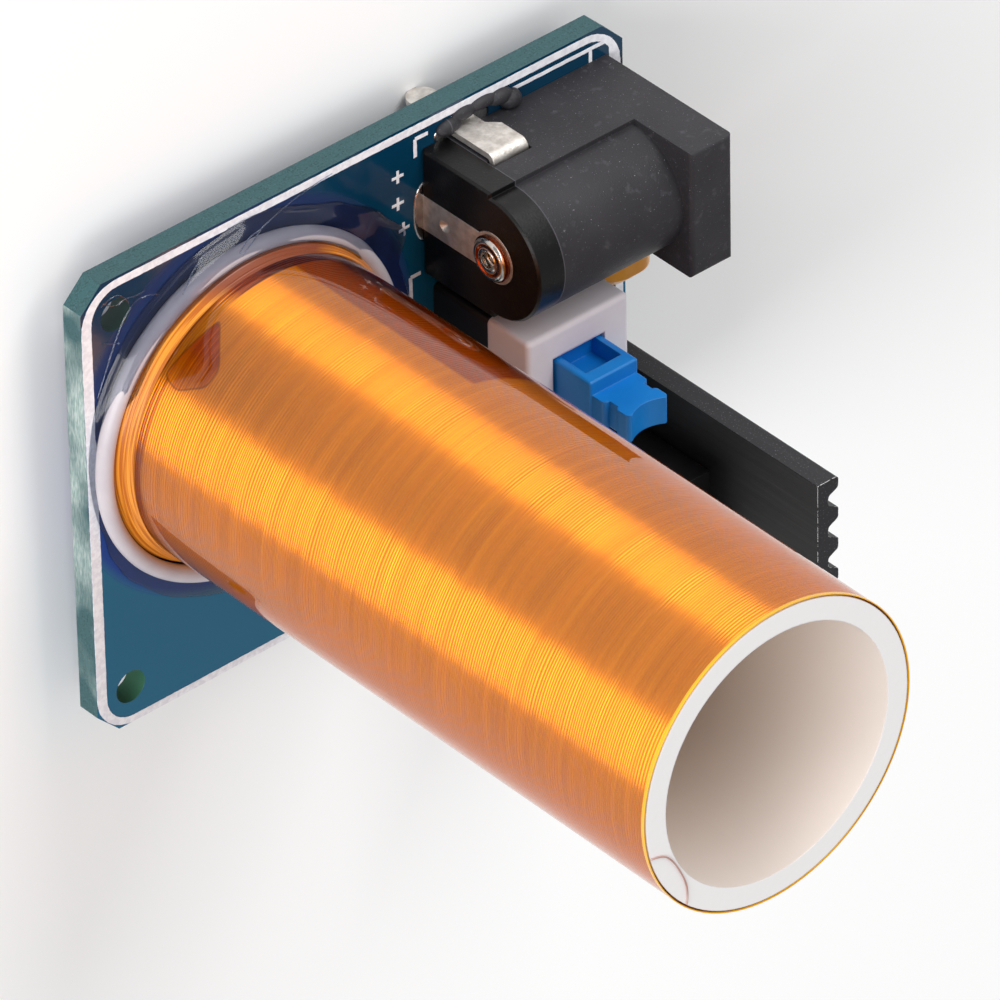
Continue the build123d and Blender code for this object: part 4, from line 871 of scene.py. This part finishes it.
def turned(profile, centre, half_x, half_y, sides=28):
    """A closed shape swept round an upright axis, from (share of the half width, height) pairs."""
    points, faces = [], []
    for share, height in profile:
        for side in range(sides):
            angle = 2 * math.pi * side / sides
            x = centre.x + half_x * share * math.cos(angle)
            points.append((x, centre.y + half_y * share * math.sin(angle), height))
    for ring in range(len(profile) - 1):
        for side in range(sides):
            after = (side + 1) % sides
            start, above = ring * sides, (ring + 1) * sides
            faces.append([start + side, start + after, above + after, above + side])
    faces += [list(range(sides)), list(range((len(profile) - 1) * sides, len(profile) * sides))]
    return points, faces


def joined(name, shapes, smooth=True):
    """One mesh from several lists of points and faces."""
    points, faces = [], []
    for some_points, some_faces in shapes:
        faces += [[len(points) + index for index in face] for face in some_faces]
        points += some_points
    return mesh_piece(name, points, faces, smooth)


cones, rims = [], []
for low, high in loose_parts("solder_joints"):
    middle = (low + high) / 2
    half_x, half_y = (high.x - low.x) / 2, (high.y - low.y) / 2
    cone = [(share, BOARD_UNDERSIDE + 0.01 * MM - height * SOLDER_HEIGHT) for share, height in SOLDER_SHARES]
    rim = [(share, BOARD_TOP + height * MM) for share, height in RIM_SHARES]
    cones.append(turned(cone, middle, half_x, half_y))
    rims.append(turned(rim, middle, half_x, half_y))
dress(joined("solder_cones", cones), SOLDER, replaced=["solder_joints"])
dress(joined("pad_rims", rims), SOLDER)
print(len(cones), "soldered leads")

# %% [markdown]
# The primary is one turn of thick insulated wire. A smooth curve with a round section stands for the
# model's six-sided wire: the same ring, with both ends bent down through the board.

# %% Primary loop
LOOP_START, LOOP_END = -18, -52
LOOP_BEND = 1.0 * MM
LOOP_STEPS = 40
LOOP_CENTRE = Vector((loop_low.x + PRIMARY_RADIUS + PRIMARY_WIRE / 2, LOOP_AXIS.y, 0))


def leg(degrees, way):
    """The points of one end of the loop, from the ring down to its tip."""
    angle = math.radians(degrees)
    end = round_axis(LOOP_CENTRE, PRIMARY_RADIUS, degrees, PRIMARY_LEVEL)
    foot = end + Vector((-math.sin(angle), math.cos(angle), 0)) * way * LOOP_BEND
    return [Vector((foot.x, foot.y, z)) for z in (PRIMARY_LEVEL, PRIMARY_LEVEL - LOOP_BEND, loop_low.z)]


loop_path = leg(LOOP_START, -1)[::-1]
for step in range(LOOP_STEPS + 1):
    degrees = LOOP_START + (360 + LOOP_END - LOOP_START) * step / LOOP_STEPS
    loop_path.append(round_axis(LOOP_CENTRE, PRIMARY_RADIUS, degrees, PRIMARY_LEVEL))
loop_path += leg(LOOP_END, 1)
loop = wire_curve("primary_wire", [loop_path], PRIMARY_WIRE / 2, sides=8)
dress(loop, INSULATION, replaced=["primary_loop"])
print("primary loop of", len(loop_path), "points")

# %% [markdown]
# The winding's last turn comes over the tube's end as a thin bowed wire under the film.

# %% Free end of the winding
lead_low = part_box("free_end_lead")[0]
LEAD_RADIUS = 0.05 * MM
LEAD_LEVEL = lead_low.z + LEAD_RADIUS
LEAD_POINTS = ((10.0, -166), (9.2, -164), (8.75, -158), (8.7, -150), (8.95, -142), (9.5, -137), (9.95, -135))
lead_path = [round_axis(COIL_AXIS, radius * MM, degrees, LEAD_LEVEL) for radius, degrees in LEAD_POINTS]
dress(
    wire_curve("free_end_wire", [lead_path], LEAD_RADIUS), FINE_WIRE,
    replaced=["free_end_lead"],
)
print("free end bows over", LEAD_POINTS[0][1], "to", LEAD_POINTS[-1][1], "degrees")

# %% [markdown]
# The capacitor and the resistor stand on round wires. Their ends come from the boxes of the bodies and
# of the leads, and the curve rounds the corners between those points by itself.

# %% Round leads
WIRE_RADIUS = 0.25 * MM
cap_body_low, cap_body_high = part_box("capacitor_body")
cap_lead_low, cap_lead_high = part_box("capacitor_leads")
res_body_low, res_body_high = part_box("resistor_body")
res_lead_low, res_lead_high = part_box("resistor_leads")

cap_middle = (cap_body_low + cap_body_high) / 2
kink = 0.5 * MM
cap_wires = []
for side, outer_x in ((-1, cap_lead_low.x + WIRE_RADIUS), (1, cap_lead_high.x - WIRE_RADIUS)):
    inner_x = cap_middle.x + side * 1.0 * MM
    stops = ((inner_x, cap_lead_high.z), (inner_x, cap_lead_high.z - kink), (outer_x, BOARD_TOP + kink / 2))
    stops += ((outer_x, BOARD_TOP), (outer_x, cap_lead_low.z))
    cap_wires.append([Vector((x, cap_middle.y, z)) for x, z in stops])
dress(
    wire_curve("capacitor_wires", cap_wires, WIRE_RADIUS), TIN, replaced=["capacitor_leads"],
)

res_middle = (res_body_low + res_body_high) / 2
bend = 0.7 * MM
res_wires = []
for inner_x, outer_x, side in (
    (res_body_low.x, res_lead_low.x + WIRE_RADIUS, -1), (res_body_high.x, res_lead_high.x - WIRE_RADIUS, 1),
):
    level = res_middle.z
    stops = ((inner_x, level), (outer_x - side * bend, level), (outer_x, level), (outer_x, level - bend))
    stops += ((outer_x, res_lead_low.z),)
    res_wires.append([Vector((x, res_middle.y, z)) for x, z in stops])
dress(wire_curve("resistor_wires", res_wires, WIRE_RADIUS), TIN, replaced=["resistor_leads"])
print("round leads on the capacitor and the resistor")

# %% [markdown]
# The indicator's lens is cast epoxy: a flange, a barrel and a dome, turned here with a fine arc.

# %% Indicator lens
lens_low, lens_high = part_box("led_lens")
lens_half = (lens_high.x - lens_low.x) / 2
DOME_RADIUS = 1.5 * MM
DOME_STEPS = 12
DOME_SWEEP = 88
FLANGE_HEIGHT = 1.0 * MM
dome_base = lens_high.z - DOME_RADIUS
lens_profile = [(1.0, lens_low.z), (1.0, lens_low.z + 0.9 * MM), (0.97, lens_low.z + FLANGE_HEIGHT)]
lens_profile += [(DOME_RADIUS / lens_half, lens_low.z + FLANGE_HEIGHT)]
for step in range(DOME_STEPS + 1):
    rise = math.radians(DOME_SWEEP * step / DOME_STEPS)
    lens_profile.append((DOME_RADIUS / lens_half * math.cos(rise), dome_base + DOME_RADIUS * math.sin(rise)))
lens_shape = turned(lens_profile, (lens_low + lens_high) / 2, lens_half, lens_half, sides=48)
dress(mesh_piece("indicator_lens", *lens_shape), LENS, replaced=["led_lens"])
print("lens of", len(lens_shape[1]), "faces")

# %% [markdown]
# Hot glue holds the coil's foot. It flowed out over the board, wetted the film in a thin skin and half
# buried the primary wire, then set clear and glossy. The surface is a grid of points round the coil:
# for each direction a few radii get a height. How far it flowed was read off the photograph.

# %% Clear glue round the coil's foot
GLUE_SIDES = 240
GLUE_SINK = 0.02
GLUE_REACH = (
    (0, 13.0), (16, 12.7), (24, 14.0), (35, 13.5), (51, 12.8), (62, 12.4), (88, 12.4), (100, 12.25),
    (125, 12.15), (155, 12.05), (172, 11.85), (186, 11.82), (203, 11.95), (214, 12.5), (228, 12.9),
    (247, 13.4), (262, 13.7), (285, 13.8), (310, 13.5), (335, 13.2), (360, 13.0),
)
GLUE_CROWN, GLUE_EDGE = 0.42, 0.14
COVERED = 95  # the direction in which the glue lies thickest and hides the primary wire
COVERED_SPREAD = 75
COVERED_CROWN, COVERED_EDGE = 0.80, 0.10


def reach_at(degrees):
    """How far the glue flowed in one direction, eased between the measured ones."""
    for (near, low), (far, high) in zip(GLUE_REACH, GLUE_REACH[1:]):
        if near <= degrees <= far:
            share = (degrees - near) / (far - near)
            return low + (high - low) * share * share * (3 - 2 * share)


def wave(degrees, seed, size):
    """A slow, smooth unevenness round the coil, from -1 to 1."""
    angle = math.radians(degrees)
    return noise.noise(Vector((math.cos(angle) * size, math.sin(angle) * size, seed)))


def glue_profile(degrees):
    """Distances from the coil's axis and heights over the board, in millimetres, from the film out."""
    film = FILM_RADIUS / MM - GLUE_SINK
    off = min(abs(degrees - COVERED), 360 - abs(degrees - COVERED))
    covered = max(0.0, min(1.0, (COVERED_SPREAD - off) / 20))
    reach = reach_at(degrees) + 0.05 * wave(degrees, 5.0, 4.0)
    crown = GLUE_CROWN + COVERED_CROWN * covered + 0.04 * wave(degrees, 9.0, 3.0)
    climb = crown + 0.35
    outer = min(film + 1.9, reach - 0.3)
    edge = GLUE_EDGE + COVERED_EDGE * covered
    return [
        (film, climb), (film + 0.12, climb - 0.12), (film + 0.5, crown), (film + 1.1, crown),
        (outer, 0.6 * crown), ((outer + reach) / 2, edge + 0.05),
        (reach - 0.14, edge), (reach - 0.02, edge * 0.5), (reach, -GLUE_SINK), (film, -GLUE_SINK),
    ]


glue_points, glue_faces = [], []
for side in range(GLUE_SIDES):
    degrees = 360 * side / GLUE_SIDES
    for radius, height in glue_profile(degrees):
        glue_points.append(round_axis(COIL_AXIS, radius * MM, degrees, BOARD_TOP + height * MM))
rows = len(glue_points) // GLUE_SIDES
for side in range(GLUE_SIDES):
    start, after = side * rows, (side + 1) % GLUE_SIDES * rows
    for row in range(rows):
        following = (row + 1) % rows
        glue_faces.append([start + row, after + row, after + following, start + following])
GLUE, glue_tree, glue_shader = finish(
    "clear_hot_melt_glue", Base_Color=linear("#DCE4F4"), Roughness=0.10, IOR=1.48, Transmission_Weight=1.0,
)
relief(glue_tree, glue_shader, cloud(glue_tree, 3.0, detail=0, low=0, high=1), 0.05)
glue = mesh_piece("glue_pool", glue_points, glue_faces)
dress(glue, GLUE, replaced=["glue_bead"])
print(
    "glue of", len(glue_faces), "faces, reaching", max(reach for _, reach in GLUE_REACH), "mm from the axis"
)

# %% [markdown]
# Seen through the glue, the film's foot looks wider than it is, and the lower edge of the amber film
# does flare out a little over the wire. A low skirt, bedded in the glue, stands for both. Its paint
# carries the fine lines of the first turns and darkens on the side that the jack shades.

# %% Amber foot of the film
SKIRT = ((0.0, 2.1), (0.10, 1.75), (0.28, 1.25), (0.48, 0.85), (0.62, 0.55))
SKIRT_SIDES = 180

skirt_points, skirt_faces = [], []
for side in range(SKIRT_SIDES):
    degrees = 360 * side / SKIRT_SIDES
    for out, height in SKIRT:
        radius = FILM_RADIUS + (out * (1 + 0.2 * wave(degrees, 2.0, 2.5)) + 0.004) * MM
        skirt_points.append(round_axis(COIL_AXIS, radius, degrees, BOARD_TOP + height * MM))
rows = len(SKIRT)
for side in range(SKIRT_SIDES):
    start, after = side * rows, (side + 1) % SKIRT_SIDES * rows
    for row in range(rows - 1):
        skirt_faces.append([start + row, after + row, after + row + 1, start + row + 1])
AMBER, amber_tree, amber_shader = finish("amber_film_seen_through_glue", Roughness=0.3, IOR=1.5)
lines = cloud(amber_tree, 0.16, (0.02, 0.02, 1), detail=1, low=0.42, high=0.58)
dark_side = add(amber_tree, "MapRange", round_coil(amber_tree, SHADED_SIDE)[0], 8.9, 9.7)
amber = add(amber_tree, "Mix", lines, "#B8600C", "#E8922A")
amber = add(amber_tree, "Mix", dark_side, amber, "#82380C")
amber_tree.links.new(amber, amber_shader.inputs["Base Color"])
relief(amber_tree, amber_shader, lines, 0.02)
dress(mesh_piece("film_foot", skirt_points, skirt_faces), AMBER)
print("amber foot of", len(skirt_faces), "faces")

# %% [markdown]
# The jack's mould let a little plastic out beside its side terminal, and it set there in black lumps.

# %% Lumps of moulding flash
LUMPS = (
    (25.6, 14.8, 0.95, 0.55, 0.55), (26.8, 15.2, 0.95, 0.45, 0.40), (28.3, 15.3, 1.05, 0.40, 0.42),
    (29.6, 15.1, 0.95, 0.50, 0.55), (30.4, 14.6, 0.75, 0.65, 0.75),
)
LUMP_SHARES = ((1.0, -0.02), (1.0, 0.25), (0.88, 0.6), (0.6, 0.88), (0.3, 1.0))
lumps = []
for x, y, half_x, half_y, tall in LUMPS:
    profile = [(share, BOARD_TOP + height * tall * MM) for share, height in LUMP_SHARES]
    lumps.append(turned(profile, Vector((x, y, 0)) * MM, half_x * MM, half_y * MM, sides=20))
dress(joined("moulding_flash", lumps), JACK_BLACK)
print(len(lumps), "lumps of flash")

# %% [markdown]
# Hot glue pulls out into hair-thin threads when the nozzle leaves. A few still lie over the board,
# and one tangle has caught on the mounting hole.

# %% Threads of glue
THREAD_RADIUS = 0.035 * MM
THREADS = (
    ((8.6, 14.3, 1.3), (10.2, 15.0, 0.9), (11.3, 15.2, 0.6), (14.2, 15.5, 0.1), (16.6, 15.7, 0.06)),
    ((8.5, 14.5, 1.2), (9.3, 14.9, 0.8), (10.4, 15.1, 0.9), (11.0, 15.2, 0.7)),
    ((4.2, 13.6, 1.1), (5.4, 14.3, 0.5), (6.9, 14.8, 0.1), (8.7, 15.6, 0.06)),
    ((-1.6, 8.4, 0.06), (-0.5, 11.1, 0.06), (0.8, 13.6, 0.10), (2.1, 14.3, 0.3), (3.0, 13.8, 0.5)),
    ((-1.0, 14.9, 0.1), (-0.2, 14.3, 0.3), (0.5, 14.6, 0.2), (1.35, 14.4, 0.3), (2.1, 14.3, 0.1)),
    ((-1.1, 14.7, 0.1), (-0.6, 15.1, 0.2), (0.3, 15.1, 0.2), (0.9, 14.1, 0.2)),
    ((-1.0, 12.0, 0.06), (-0.4, 11.8, 0.2), (0.1, 11.5, 0.06)),
)
paths = [[Vector((x * MM, y * MM, BOARD_TOP + z * MM)) for x, y, z in thread] for thread in THREADS]
dress(wire_curve("glue_threads", paths, THREAD_RADIUS), GLUE)
print(len(paths), "threads of glue")

# %% Sizes and finish
print("model", [[round(part / MM, 2) for part in corner] for corner in cad_box])
